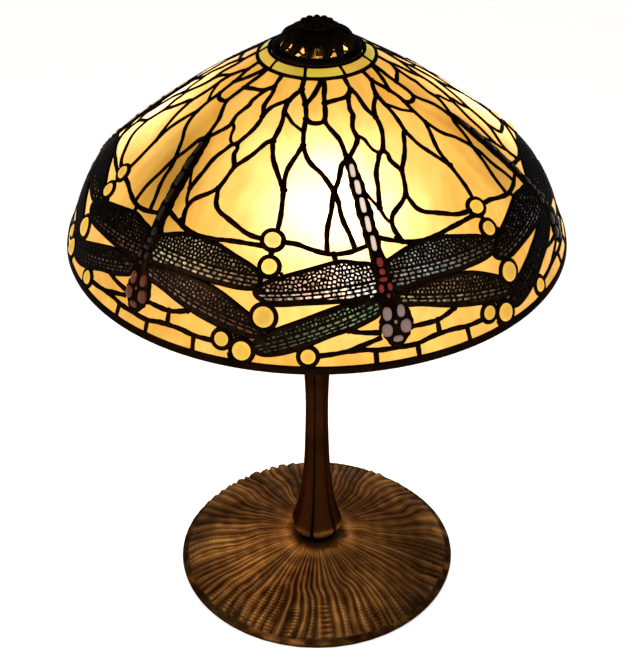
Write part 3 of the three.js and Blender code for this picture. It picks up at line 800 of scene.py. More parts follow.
def jewel_clearance(degrees, slope):
    """Distance from points to the edge of the nearest jewel's glass, negative inside it."""
    result = np.full(len(degrees), 99.0)
    for jewel_degrees, jewel_slope, radius in JEWELS:
        per_degree = millimetres_per_degree(jewel_slope)
        for turn in (-1, 0, 1):
            aside = (degrees - jewel_degrees - STEP * turn) * per_degree
            reach = np.hypot(aside, slope - jewel_slope)
            result = np.minimum(result, reach - radius)
    return result


def inside(outline, x, y):
    """Which points lie inside a closed outline."""
    result = np.zeros(len(x), bool)
    for (x0, y0), (x1, y1) in zip(outline, np.roll(outline, -1, axis=0)):
        crosses = (y0 > y) != (y1 > y)
        with np.errstate(divide="ignore", invalid="ignore"):
            result ^= crosses & (x < (x1 - x0) * (y - y0) / (y1 - y0) + x0)
    return result


def spread_labels(labels, blocked):
    """Grows labels over their unlabelled neighbours until nothing changes."""
    while True:
        grown = labels.copy()
        for shift, axis in ((1, 0), (-1, 0), (1, 1), (-1, 1)):
            moved = np.roll(labels, shift, axis)
            if axis == 0:
                moved[0 if shift == 1 else -1] = -1
            take = (grown < 0) & (moved >= 0) & ~blocked
            grown[take] = moved[take]
        if (grown == labels).all():
            return labels
        labels = grown


def flood(clear, labels, start, number):
    """Gives one label to all the clear squares joined to the first one, and returns them."""
    stack, members = [start], []
    labels[start] = number
    while stack:
        i, j = stack.pop()
        members.append((i, j))
        for a, b in ((i + 1, j), (i - 1, j), (i, (j + 1) % COLUMNS), (i, (j - 1) % COLUMNS)):
            if 0 <= a < ROWS and clear[a, b] and labels[a, b] < 0:
                labels[a, b] = number
                stack.append((a, b))
    return members


def find_pieces():
    """Sorts the grid squares of a repeat into pieces of glass."""
    degree_mid = (np.arange(COLUMNS) + 0.5) * DEGREES_PER_COLUMN
    slope_mid = (ROW_SLOPES[1:] + ROW_SLOPES[:-1]) / 2
    degrees, slope = (grid.ravel() for grid in np.meshgrid(degree_mid, slope_mid))
    clear = (lead_clearance(degrees, slope) > 0).reshape(ROWS, COLUMNS)
    jewel = (jewel_clearance(degrees, slope) < JEWEL_SEAT).reshape(ROWS, COLUMNS)
    labels = np.full((ROWS, COLUMNS), -1)
    number, solder = 0, []
    for row, column in zip(*np.nonzero(clear)):
        if labels[row, column] >= 0:
            continue
        members = flood(clear, labels, (row, column), number)
        from_tips = max(min(degree_mid[j], STEP - degree_mid[j]) for _, j in members)
        at_tips = from_tips < TIP_REACH and row > ROWS // 2
        if len(members) < SMALLEST_PIECE * (TIP_FACTOR if at_tips else 1):
            for i, j in members:
                labels[i, j] = -1
                solder.append((degree_mid[j], slope_mid[i]))
        else:
            number += 1
    return spread_labels(labels, jewel), number, solder


def piece_slab(labels, number):
    """Corners and faces of one piece of glass, kept together across the end of the repeat."""
    rows, columns = np.nonzero(labels == number)
    wraps = columns.min() < COLUMNS // 4 and columns.max() > 3 * COLUMNS // 4
    if wraps:
        columns = np.where(columns > COLUMNS // 2, columns - COLUMNS, columns)
    index, corners, faces = {}, [], []
    for row, column in zip(rows.tolist(), columns.tolist()):
        face = []
        for key in ((row, column), (row + 1, column), (row + 1, column + 1), (row, column + 1)):
            if key not in index:
                index[key] = len(corners)
                corners.append(key)
            face.append(index[key])
        faces.append(tuple(face))
    corners = np.array(corners)
    return corners[:, 1] * DEGREES_PER_COLUMN, ROW_SLOPES[corners[:, 0]], slab_faces(faces, len(corners))


DOME = 0.6  # how far a piece of glass swells between its leads
WING_SHARE = 0.6  # a piece is wing glass when more than this share of its corners lies in a wing


def glass_pieces():
    """Every piece of glass in a repeat, with its kind and its swelling, and the spots filled with solder."""
    labels, count, solder = find_pieces()
    pieces = []
    for number in range(count):
        degrees, slope, faces = piece_slab(labels, number)
        middle = (degrees.mean(), slope.mean())
        kind = "leaf" if middle[1] < LEAVES_END else "border" if middle[1] > WINGS_END else "wing"
        wing = None
        for name, outline in WINGS.items():
            ring = np.array(outline)
            share = sum(inside(ring, degrees + STEP * turn, slope).mean() for turn in (-1, 0, 1))
            if share > WING_SHARE:
                kind, wing = "wing", name
        clearance = lead_clearance(degrees, slope)
        swell = DOME * (1 - np.exp(-np.clip(clearance + 1, 0, None) / 3))
        pieces.append({"degrees": degrees, "slope": slope, "faces": faces, "middle": middle,
                       "kind": kind, "wing": wing, "swell": swell, "number": number})
    return pieces, solder


PIECES, SOLDER = glass_pieces()
WING_ROOT = 29  # degrees into the repeat where the wings meet the body
WING_LIGHT = ([3, 8, 15, 21, 29], [1.0, 1.5, 1.15, 0.6, 0.42])  # degrees from the root, share of the light
SHEET_DEPTH = 0.35  # how far a sheet lies back from the shade's outer face
RIPPLE, TILT = 0.1, 0.006  # unevenness of a sheet, and how far it may lean


def piece_tint(piece, repeat, draw):
    """The colour of one piece of glass."""
    if piece["wing"]:
        dragonfly = (repeat - (piece["middle"][0] < 0)) % REPEATS
        return np.array(WING_SHEETS[WING_CHOICE[piece["wing"]][dragonfly]])
    tone = draw.uniform(0, 1)
    paler, deeper = max(0, tone - 0.5), max(0, 0.25 - tone) * 1.4
    return AMBER + (PALE_AMBER - AMBER) * paler + (DEEP_AMBER - AMBER) * deeper


def add_glass(shape, piece, repeat):
    """One piece of glass in one repeat: a closed slab, swollen between its leads."""
    draw = np.random.default_rng(1000 * repeat + piece["number"])
    tint = piece_tint(piece, repeat, draw)
    degrees, slope = piece["degrees"], piece["slope"]
    azimuth = repeat_azimuth(degrees, repeat)
    x = (degrees - piece["middle"][0]) * millimetres_per_degree(slope)
    y = slope - piece["middle"][1]
    ripple = RIPPLE * smooth_noise(0.35 * x, 0.35 * y, piece["number"] + 100 * repeat)
    tilt = draw.uniform(-TILT, TILT, 2)
    proud = piece["swell"] - SHEET_DEPTH + ripple + np.clip(tilt[0] * x + tilt[1] * y, -0.3, 0.3)
    outer = on_shade(azimuth, slope, proud)
    inner = on_shade(azimuth, slope, -GLASS - 0.5 * piece["swell"] + 0.2)
    light = light_through(outer) * draw.uniform(0.94, 1.06)
    colour = whitened(tint, light)
    if piece["wing"]:
        out = np.abs((degrees - WING_ROOT + STEP / 2) % STEP - STEP / 2)
        light = light * np.interp(out, *WING_LIGHT) * (0.07 + 1.4 * draw.uniform(0, 1, len(degrees)) ** 1.6)
        tint = tint * np.stack([np.interp(out, [14, 24], [1, end]) for end in WING_TIP], axis=1)
        mottle = np.clip(smooth_noise(0.16 * x, 0.16 * y, 7 * piece["number"] + repeat), -1, 1)
        colour = tint * (1 + mottle[:, None] * WING_MOTTLE)
    turn = 0.3 if piece["wing"] else draw.uniform(-0.5, 0.5)
    offset = draw.uniform(0, 400, 3)
    grain = offset + np.stack([x * math.cos(turn) - y * math.sin(turn),
                               x * math.sin(turn) + y * math.cos(turn), 0 * x], axis=-1)
    add_slab(shape, outer, inner, piece["faces"], tint=colour, light=light, grain=grain)


EVENNESS = 0.55  # thick glass evens out the light behind it


def add_cabochon(shape, degrees, slope, half_wide, half_long, base, top, repeat, tint,
                 strength, rim, square, seed):
    """A domed piece of glass; rim is how much darker its edge is than its middle."""
    draw = np.random.default_rng(seed)
    light = light_through(on_shade(np.array([repeat_azimuth(degrees, repeat)]), np.array([slope])))[0]
    light = strength * (1 + EVENNESS * (light - 1))
    offset = draw.uniform(0, 300, 3)
    tint = np.array(tint) * draw.uniform(0.9, 1.1)

    def glow(edge):
        """Light from behind, from the middle (0) to the edge (1)."""
        return light * (1 - rim * edge ** 4)

    def grain(edge):
        """Where the milky streaks of this piece run."""
        angle = np.arange(len(edge)) * 0.31
        flat = (edge * half_wide * np.cos(angle), edge * half_long * np.sin(angle), 0 * edge)
        return np.stack(flat, -1) + offset

    def colour(edge):
        """The tint as strong light bleaches it."""
        return whitened(tint, np.full(len(edge), light))

    add_dome(shape, degrees, slope, half_wide, half_long, base, top, repeat,
             square=square, tint=colour, light=glow, grain=grain)


# ---------- filigree over the wings ----------
BAR = 0.73  # half the width of the metal between two holes
EDGE_METAL = 2.1  # solid metal left round the edge of a wing
FILIGREE_LOW, FILIGREE_HIGH = 0.35, 1.15
PEBBLE = (3.1, 2.8)  # spacing of the small holes along and across the wing
BRICK_PITCH = 2.9  # rows of long holes
SHORT_BRICK, LONG_BRICK = 3.6, 8.4
BRICK_SHARE = {"left_upper": 0.38, "left_lower": 0.5, "right_upper": 0.42, "right_lower": 0.34}


def clip_polygon(polygon, normal, limit):
    """The part of a convex polygon where normal . point < limit."""
    result = []
    for here, there in zip(polygon, polygon[1:] + polygon[:1]):
        a, b = limit - np.dot(normal, here), limit - np.dot(normal, there)
        if a >= 0:
            result.append(here)
        if (a >= 0) != (b >= 0):
            result.append(here + (there - here) * a / (a - b))
    return result


def brick_holes(low, high, bottom, draw):
    """Rows of long holes between two ends and from the wing's lower edge up to bottom."""
    holes, edge = [], high[1] - BAR
    while edge > bottom:
        pitch = draw.uniform(0.85, 1.15) * BRICK_PITCH
        position = low[0] - draw.uniform(0, LONG_BRICK)
        while position < high[0]:
            length = draw.uniform(SHORT_BRICK, LONG_BRICK)
            left, right, top = position + BAR, position + length - BAR, edge - pitch + 2 * BAR
            corners = np.array([(left, top), (right, top), (right, edge), (left, edge)])
            holes.append(corners + draw.uniform(-0.24, 0.24, (4, 2)))
            position += length
        edge -= pitch
    return holes, edge


def pebble_holes(low, high, bottom, draw):
    """Small uneven holes over the rest of the wing: the cells nearest to each of a set of jittered points."""
    centres = []
    for depth in np.arange(bottom - PEBBLE[1] / 2, low[1] - PEBBLE[1], -PEBBLE[1]):
        for position in np.arange(low[0] - draw.uniform(0, PEBBLE[0]), high[0] + PEBBLE[0], PEBBLE[0]):
            centres.append((position, depth) + draw.uniform(-0.34, 0.34, 2) * PEBBLE)
    centres = np.array(centres)
    holes = []
    for here in centres:
        apart = centres - here
        reach = np.hypot(*apart.T)
        polygon = [here + np.array(corner) for corner in ((-4, -4), (4, -4), (4, 4), (-4, 4))]
        for j in np.argsort(reach)[1:13]:
            direction = apart[j] / reach[j]
            polygon = clip_polygon(polygon, direction, np.dot(direction, here) + reach[j] / 2 - BAR)
        polygon = clip_polygon(polygon, np.array((0, 1)), bottom - BAR)
        if len(polygon) > 2:
            holes.append(np.array(polygon))
    return holes


def filigree_holes(outline, share, seed):
    """Every hole of a wing, kept inside its edge and with its corners rounded."""
    draw = np.random.default_rng(seed)
    centre = outline.mean(axis=0)
    _, axes = np.linalg.eigh(np.cov((outline - centre).T))
    along = axes[:, 1] * np.sign(axes[0, 1])
    turn = np.array([along, (-along[1], along[0])])
    flat = (outline - centre) @ turn.T
    low, high = flat.min(axis=0), flat.max(axis=0)
    bricks, bottom = brick_holes(low, high, high[1] - share * (high[1] - low[1]), draw)
    edges = np.roll(flat, -1, axis=0) - flat
    outward = np.stack([edges[:, 1], -edges[:, 0]], axis=-1)
    outward /= np.maximum(np.linalg.norm(outward, axis=1), 1e-6)[:, None]
    holes = []
    for hole in bricks + pebble_holes(low, high, bottom, draw):
        middle = hole.mean(axis=0)
        polygon = list(hole)
        for i in np.nonzero(np.hypot(*(flat + edges / 2 - middle).T) < 9)[0]:
            polygon = clip_polygon(polygon, outward[i], np.dot(outward[i], flat[i]) - EDGE_METAL)
        if len(polygon) < 3 or not inside(flat, middle[:1], middle[1:])[0]:
            continue
        cut = []
        for a, b in zip(polygon, polygon[1:] + polygon[:1]):
            cut += [a + (b - a) * 0.2, a + (b - a) * 0.8]
        corners = np.array(cut)
        if polygon_area(corners) > 0.8:
            holes.append(corners @ turn + centre)
    return holes


def polygon_area(corners):
    """Area of a flat outline, positive when it runs anticlockwise."""
    x, y = corners.T
    return (np.dot(x, np.roll(y, -1)) - np.dot(y, np.roll(x, -1))) / 2


def wing_filigree(name, seed):
    """The pierced plate of one wing as flat points in (degrees, slope) and faces."""
    outline = smooth_curve(WINGS[name], 2.5, closed=True)
    scale = millimetres_per_degree(outline[:, 1].mean())
    flat = outline * (scale, 1)
    if polygon_area(flat) < 0:
        flat = flat[::-1]
    holes = filigree_holes(flat, BRICK_SHARE[name], seed)
    points, loops = [Vector(p) for p in flat], [list(range(len(flat)))]
    for hole in holes:
        loops.append(list(range(len(points), len(points) + len(hole))))
        points += [Vector(p) for p in hole]
    out_points, _, triangles, _, _, origins = delaunay_2d_cdt(points, [], loops, 1, 1e-4)
    faces = [tuple(t) for t, origin in zip(triangles, origins) if list(origin) == [0]]
    used = sorted({v for face in faces for v in face})
    renumber = {v: i for i, v in enumerate(used)}
    flat_points = np.array([tuple(out_points[v]) for v in used]) / (scale, 1)
    faces = [tuple(renumber[v] for v in face) for face in faces]
    a, b, c = (flat_points[[face[n] for face in faces]] for n in range(3))
    turn = (b[:, 0] - a[:, 0]) * (c[:, 1] - a[:, 1]) - (b[:, 1] - a[:, 1]) * (c[:, 0] - a[:, 0])
    faces = [face[::-1] if t > 0 else face for face, t in zip(faces, turn)]
    return flat_points, slab_faces(faces, len(flat_points))


FILIGREES = [wing_filigree(name, 7 + n) for n, name in enumerate(WINGS)]


# ---------- shade ----------
BLOB_SLOPES = (CROWN_END + 6, 210)  # the lead lines that end between these slopes end in a puddle of solder
JEWEL_BASE, JEWEL_TOP, BIG_JEWEL_TOP = 0.2, 2.8, 3.4
BODY_GLASS_BASE, BODY_GLASS_TOP = 1.0, 2.9
TAIL_SQUARE, BODY_SQUARE = 0.6, 0.85  # how square the ends of the body's pieces are; one is an oval


def add_blob(shape, degrees, slope, radius, repeat):
    """A rounded puddle of solder where lead lines meet."""
    add_dome(shape, degrees, slope, radius, radius, -1, LEAD_PROUD + 0.15, repeat, rings=3, sides=10)


def make_sheets(repeat):
    """The flat glass of one repeat, as leaves, wings and border."""
    number = repeat + 1
    shapes = {"leaf": Shape(), "wing": Shape(), "border": Shape()}
    for piece in PIECES:
        add_glass(shapes[piece["kind"]], piece, repeat)
    for kind, node in (("leaf", "leaf_panel"), ("wing", "wing_panel"), ("border", "border_panel")):
        slot = "wing_glass" if kind == "wing" else "amber_glass"
        shapes[kind].build(f"{kind}_glass_{number}", GLASS_SURFACE, "shade", slot, [f"{node}_{number}"])


def make_jewels(repeat):
    """The round amber cabochons of one repeat."""
    jewels = Shape()
    for n, (degrees, slope, radius) in enumerate(JEWELS):
        top = BIG_JEWEL_TOP if radius > BIG_JEWEL else JEWEL_TOP
        add_cabochon(jewels, degrees, slope, radius, radius, JEWEL_BASE, top, repeat, JEWEL_TINT,
                     strength=1.0, rim=-0.45, square=1.0, seed=50 * repeat + n)
    jewels.build(f"jewels_{repeat + 1}", CABOCHON_SURFACE, "shade", "amber_glass")


def make_leading(repeat):
    """Every lead line of one repeat, with the puddles of solder and the rings round the jewels."""
    leads = Shape()
    for n, (path, half_width, closed) in enumerate(PATHS):
        add_lead(leads, path, half_width, repeat, closed=closed, seed=n)
        if not closed:
            for degrees, slope in (path[0], path[-1]):
                if BLOB_SLOPES[0] < slope < BLOB_SLOPES[1]:
                    add_blob(leads, degrees, slope, half_width * 1.3, repeat)
    for degrees, slope in SOLDER:
        add_blob(leads, degrees, slope, SOLDER_SPOT, repeat)
    angle = np.linspace(0, 2 * np.pi, 28, endpoint=False)
    for degrees, slope, radius in JEWELS:
        reach = radius + RING_LEAD - 0.7
        aside = reach * np.cos(angle) / millimetres_per_degree(slope)
        circle = np.stack([degrees + aside, slope + reach * np.sin(angle)], -1)
        add_lead(leads, circle, RING_LEAD, repeat, closed=True, high=1.5)
    leads.build(f"leading_{repeat + 1}", LEAD_SURFACE, "shade", "dark_bronze")


def make_filigree(repeat):
    """The pierced plates over the four wings of one repeat."""
    filigree = Shape()
    for flat, faces in FILIGREES:
        azimuth = repeat_azimuth(flat[:, 0], repeat)
        add_slab(filigree, on_shade(azimuth, flat[:, 1], FILIGREE_HIGH),
                 on_shade(azimuth, flat[:, 1], FILIGREE_LOW), faces)
    filigree.build(f"wing_filigree_{repeat + 1}", FILIGREE_SURFACE, "shade", "dark_bronze", smooth=False)


def make_dragonfly(repeat):
    """The metal body of one dragonfly and the glass set into it."""
    number = repeat + 1
    body = Shape()
    add_lead(body, SPINE, SPINE_WIDTH, repeat, high=2.0)
    body.build(f"dragonfly_lead_{number}", LEAD_SURFACE, "shade", "body_glass", [f"dragonfly_body_{number}"])
    gems = Shape()
    for n, (degrees, slope, half_wide, half_long, part) in enumerate(BODY_GLASS):
        tint = BODY_SHEETS[BODY_CHOICE[part][repeat]]
        square = TAIL_SQUARE if slope < THORAX_START else BODY_SQUARE
        add_cabochon(gems, degrees, slope, half_wide, half_long, BODY_GLASS_BASE, BODY_GLASS_TOP,
                     repeat, tint, strength=0.75, rim=0.5, square=square, seed=900 + 40 * repeat + n)
    gems.build(f"dragonfly_glass_{number}", CABOCHON_SURFACE, "shade", "body_glass")


CROWN_LEAN = 1.6  # degrees by which the leads between the tiles lean


def make_crown():
    """The ring of yellow-green tiles under the cap, with its leads."""
    span = 360 / CROWN_TILES
    glass, leads = Shape(), Shape()
    columns, rows = 26, 6
    faces = slab_faces(grid_faces(rows, columns), (rows + 1) * (columns + 1))
    for tile in range(CROWN_TILES):
        draw = np.random.default_rng(40 + tile)
        start = CROWN_AZIMUTH + span * tile
        part = np.linspace(0.008, 0.992, columns + 1)
        slopes = np.linspace(CROWN_START, CROWN_END - 0.2, rows + 1)
        lean = CROWN_LEAN * (slopes - CROWN_START) / CROWN_END
        azimuth = (start + span * part[None, :] + lean[:, None]).ravel()
        slope = np.repeat(slopes, columns + 1)
        swell = 0.5 * np.sin(np.pi * (slope - CROWN_START) / (CROWN_END - CROWN_START))
        outer = on_shade(azimuth, slope, swell - 0.3)
        light = light_through(outer) * draw.uniform(1.1, 1.35)
        grain = np.stack([slope, (azimuth - start) * 0.7, np.full(len(slope), 30.0 * tile)], -1)
        tint = np.tile(CROWN_TINT * draw.uniform(0.85, 1.1, 3), (len(slope), 1))
        add_slab(glass, outer, on_shade(azimuth, slope, -GLASS), faces,
                 tint=tint, light=light, grain=grain)
        line = np.stack([start - PATTERN_START + np.linspace(0, CROWN_LEAN, 6),
                         np.linspace(0.4, CROWN_END, 6)], -1)
        add_lead(leads, line, 1.5, 0)
    circle = np.arange(0, 360, 2.5)
    for slope, half_width in ((CROWN_END, 1.9), (0.9, 1.2)):
        path = np.stack([circle, np.full(len(circle), slope)], -1)
        add_lead(leads, path, half_width, 0, closed=True, high=1.2)
    glass.build("crown_glass", GLASS_SURFACE, "shade", "crown_glass", ["crown_glass_ring"])
    leads.build("crown_leading", LEAD_SURFACE, "shade", "dark_bronze")


def make_rim():
    """The soldered metal band round the shade's lower edge."""
    section = [(231.2, 0.6), (232.4, 1.1), (233.8, 0.75), (235.2, 0.55), (236.6, 0.3), (237.5, -0.5),
               (237.6, -1.8), (237.2, -3.1), (235.5, -3.6), (233, -3.7), (231.4, -3.4)]
    outline = []
    for slope, proud in section:
        radius, height, normal_r, normal_z = shade_section(slope)
        outline.append((radius + proud * normal_r, height + proud * normal_z))
    shape = Shape()
    shape.add(*revolve(outline[::-1], 240))
    shape.build("rim_band_soldered", LEAD_SURFACE, "shade", "dark_bronze", ["rim_band"])


CAP_PROFILE = [
    (31.8, 517.9), (30.2, 518.6), (29.4, 519.6), (28.7, 521.2), (27.8, 522.7), (26.6, 524.2), (25.2, 525.6),
    (23.2, 527.4), (20.8, 529.2), (17.8, 530.9), (14, 532.1), (9, 532.4), (4.5, 532.4),
]
WINDOW_ROWS = (2, 6)  # rows of the profile between which the windows lie
WINDOW_HEIGHTS = (519.6, 525.6)
WINDOW_COLUMNS, RIB_COLUMNS = 8, 10
CAP_RIB = 1.9  # how far the ribs of the cap stand out
CAP_RIB_SHARES = ([518, 520, 526, 531, 532.3], [0, 0.7, 1, 0.5, 0])  # heights, share of the rib there


def make_cap():
    """The pierced cap: a low dome on a flange, with uneven windows between strong leaf-like ribs."""
    period, columns_each = 360 / CAP_WINDOWS, WINDOW_COLUMNS + RIB_COLUMNS
    total, rows = columns_each * CAP_WINDOWS, len(CAP_PROFILE)
    draw = np.random.default_rng(17)
    low_share, high_share = draw.uniform(0.42, 0.74, CAP_WINDOWS), draw.uniform(0.06, 0.4, CAP_WINDOWS)
    lean = draw.uniform(-3.5, 3.5, CAP_WINDOWS)
    across_rib = np.linspace(0, 1, RIB_COLUMNS + 1)[1:-1]
    rib_lift = np.concatenate([np.zeros(WINDOW_COLUMNS + 1), np.sin(np.pi * across_rib) ** 0.7])
    outer = []
    for radius, height in CAP_PROFILE:
        climb = np.interp(height, WINDOW_HEIGHTS, [0, 1])
        share = low_share * (1 - climb) + high_share * climb
        azimuth = []
        for k in range(CAP_WINDOWS):
            after = (k + 1) % CAP_WINDOWS
            window = np.linspace(-share[k] / 2, share[k] / 2, WINDOW_COLUMNS + 1)
            rib = np.linspace(share[k] / 2, 1 - share[after] / 2, RIB_COLUMNS + 1)[1:-1]
            shift = np.interp(np.arange(columns_each) / columns_each, [0, 1], [lean[k], lean[after]])
            turn = (k + np.concatenate([window, rib])) * period
            azimuth.append(turn + shift * math.sin(math.pi * climb) + 2 * climb)
        lift = 0.7 * (np.tile(rib_lift, CAP_WINDOWS) * CAP_RIB * np.interp(height, *CAP_RIB_SHARES))
        outer.append(circle_row(np.radians(np.concatenate(azimuth)), radius + lift, height + lift))
    outer = np.concatenate(outer)
    faces = []
    for i in range(rows - 1):
        for j in range(total):
            if not (WINDOW_ROWS[0] <= i < WINDOW_ROWS[1] and j % columns_each < WINDOW_COLUMNS):
                k = (j + 1) % total
                faces.append((i * total + j, i * total + k, (i + 1) * total + k, (i + 1) * total + j))
    inward = np.array((0, 0, 505)) - outer
    inner = outer + 1.6 * inward / np.linalg.norm(inward, axis=1)[:, None]
    shape = Shape()
    add_slab(shape, outer, inner, slab_faces(faces, len(outer)))
    flange = rounded([(28.8, 516.4), (34.2, 516.4), (34.9, 517), (34.7, 517.7), (33.4, 518), (32.9, 518.6),
                      (31.4, 518.8), (29.4, 518.7)], 0.3)
    shape.add(*revolve(flange, 168))
    shape.build("pierced_cap", CAP_SURFACE, "shade", "dark_bronze", ["heat_cap"])


def make_finial():
    """The scalloped rosette that is screwed down on the cap."""
    def petal(angle):
        """One on the middle of a petal and zero between two."""
        return np.abs(np.cos(FINIAL_BUMPS * angle / 2)) ** 0.7

    def scallops(radius, _, angle):
        """The radius drawn in between the petals."""
        return radius * (1 - 0.13 * (1 - petal(angle)) * np.interp(radius, [6, 12], [0, 1]))

    outline = [(0, 532.9), (3.6, 532.9), (9, 532.9), (11.4, 533.2), (13, 533.8), (13.9, 534.7), (14, 535.5),
               (13.4, 536.4), (12.2, 537.1), (10.8, 537.45), (9.4, 537.3), (8.4, 536.6), (7.6, 536),
               (6.6, 535.9), (5, 536.6), (3, 537.2), (0, 537.4)]
    shape = Shape()
    points, faces = revolve(outline, 216, scallops)
    radius = np.hypot(points[:, 0], points[:, 1])
    angle = np.arctan2(points[:, 0], -points[:, 1])
    dip = (1 - petal(angle)) * np.interp(radius, [5, 9, 14], [0.2, 1, 1]) * (points[:, 2] > 534.6)
    points[:, 2] -= 1.5 * dip
    shape.add(points, faces)
    shape.build("scalloped_finial", CAP_SURFACE, "finial", "dark_bronze", ["finial_knob"])


# ---------- stem ----------
STEM_PROFILE = [
    (18.6, 26.2), (19, 29), (19.8, 32), (21.6, 34.4), (23.2, 36.6), (23.8, 39.5), (23.4, 42.5), (22, 46.5),
    (20.4, 51.5), (18.6, 58), (17.1, 65), (15.8, 72), (14.7, 81), (13.7, 90), (12.6, 101), (11.8, 113),
    (11.2, 127), (10.7, 143), (10.3, 160), (10.2, 175), (10.5, 192), (11.1, 207), (12.2, 245), (14, 285),
    (15.2, 303), (15.9, 309), (15.4, 311.8),
]
CREASE_WIDTH = 3.6  # degrees
CREASE_DEPTHS = ([26, 31, 37, 300, 311], [0.02, 0.04, 0.07, 0.07, 0.04])  # heights, share of the radius


def make_stem():
    """The cast stem: six rounded faces with narrow creases between them, and a lip at the foot."""
    def crease(angle):
        """One in a crease, and how far a place lies from the nearest one."""
        part = (np.degrees(angle) - STEM_LOBE_AZIMUTH) / (360 / STEM_LOBES)
        from_crease = (0.5 - np.abs(part - np.round(part))) * 360 / STEM_LOBES
        return np.exp(-(from_crease / CREASE_WIDTH) ** 2), from_crease / 30

    def faces_of_stem(radius, height, angle):
        """The radius drawn in along the creases."""
        groove, across = crease(angle)
        depth = np.interp(height, *CREASE_DEPTHS)
        return radius * (1 - depth * groove - 0.04 * (1 - np.clip(across, 0, 1)) ** 1.5)

    profile = smooth_rows(STEM_PROFILE, 1.6)
    points, faces = revolve([(5.4, 26.2)] + profile + [(5.4, 311.8)], 360, faces_of_stem)
    azimuth = np.arctan2(points[:, 0], -points[:, 1])
    groove, across = crease(azimuth)
    # Painted highlight along the lip at the foot, brighter at some azimuths than others; the faces are darker
    # in their creases and a little lighter towards their middles.
    lip_highlight = np.exp(-((points[:, 2] - 38.5) / 4) ** 2)
    worn = 0.38 - 0.32 * groove + 0.06 * across
    worn += lip_highlight * (1 - groove) * (0.75 + 0.3 * np.sin(3 * azimuth + 0.9) + 0.2 * np.sin(7 * azimuth))
    # Painted shadow: below the lip the bronze falls to its darkest in the undercut.
    worn *= np.interp(points[:, 2], [31.5, 35.5], [0, 1])
    shape = Shape()
    shape.add(points, faces, worn=worn)
    shape.build("fluted_stem", STEM_SURFACE, "stand", "stem_bronze", ["stem"])

    collar = rounded([(5.4, 312.3), (16.2, 312.3), (17.1, 313.4), (17.1, 314.8), (15.4, 316), (14.6, 317.6),
                      (11, 318.8), (9, 320.2), (5.4, 320.2)], 0.6)
    shape = Shape()
    shape.add(*revolve(collar, 120))
    shape.build("stem_collar_turned", CAP_SURFACE, "stand", "dark_bronze", ["stem_collar"])


# ---------- foot ----------
FOOT_PROFILE = [
    (24, 25.3), (30, 24.4), (45, 22.4), (66, 19.3), (85, 16), (104, 12), (112, 9.6), (118, 7.2),
    (122.5, 5.2), (125.6, 4.3), (127.4, 3.6), (128, 2.8), (127.8, 2.1), (127, 1.9),
]
SMOOTH_ROWS = 3  # steps of the profile with no beads, which need fewer rows of corners
# The foot's top round the stem, and its hollow underside.
FOOT_HUB = [(5.5, 25.6), (12, 25.7), (20, 25.6)]
FOOT_UNDERSIDE = [(122.2, 1.9), (121, 3), (116, 4.4), (104, 8), (60, 16), (24, 21.2), (5.5, 21.4)]
RIM_START, RIM_EDGE = 122.5, 127.3  # radii between which the top turns down to the edge
RIB_START, RIB_RISE = 24, 90  # where the ribs begin, and the distance over which they reach full height
RIB_ENDS = (122.5, 124.8)
RIB_HEIGHT = 2.4
CREST_WIDTH, FLUTE_WIDTH = 0.13, 0.07  # parts of a rib's width
FLUTED_SHARE, BEADED_SHARE = 0.55, 0.65  # parts of the ribs with a groove along them and with beads
# Corners across one rib, as parts of its width, crowded towards the grooves on either side of it.
ACROSS = np.array((0, 0.07, 0.16, 0.28, 0.4, 0.52, 0.64, 0.76, 0.87, 0.95))
BEAD_SPACING = 3.2
# Where neighbouring ribs bend aside together: azimuth, radius, spread in both, and the shift in degrees.
BENDS = [
    (-3, 75, 16, 5, -3.2), (25, 68, 12, 6, -5), (97, 50, 14, 6, 7), (-88, 62, 20, 7, -6),
    (-52, 92, 12, 6, 2.5), (58, 95, 14, 7, 3), (-132, 88, 16, 8, 3.5), (150, 80, 22, 9, -5),
    (-170, 70, 18, 8, 4), (122, 98, 12, 7, -3.5),
]
# Dark hollows between the ends of the ribs and the rim: azimuth and spread.
HOLLOWS = [(-38, 7), (50, 7)]
# Where the ribs run out over the rim: azimuth, spread and share.
TOOTHED = [(-142, 27, 1.0), (146, 22, 0.45)]
# Where the rim is cast a little short: azimuth and spread.
SHORT_RIM = [(-145, 26), (142, 24)]
SHORT_SHARE = 0.022
LADDER_AZIMUTH = 4.5  # one wide rib in front has bars across it
# Radii where something begins, and the distance over which it grows to its full size.
LADDER_START = (84, 6)
HOLLOW_START = (114, 4)
TOOTH_START = (112, 10)
SCALLOP_START = (118, 8)
SCALLOP_DEPTH = 2.4
# Radii where something ends, and the distance inwards over which it grows.
DEEP_FLUTE_END = (84, 15)
SWELL_END = (126, 6)


def near(degrees, azimuth, spread):
    """One at an azimuth and fading to nothing away from it."""
    turn = (degrees - azimuth + 180) % 360 - 180
    return np.exp(-(turn / spread) ** 2)


def ramp(value, start, width):
    """Nothing up to start, rising to one over the given width."""
    return np.clip((value - start) / width, 0, 1)


def ramp_down(value, end, width):
    """One at first, falling to nothing over the width before the end."""
    return np.clip((end - value) / width, 0, 1)


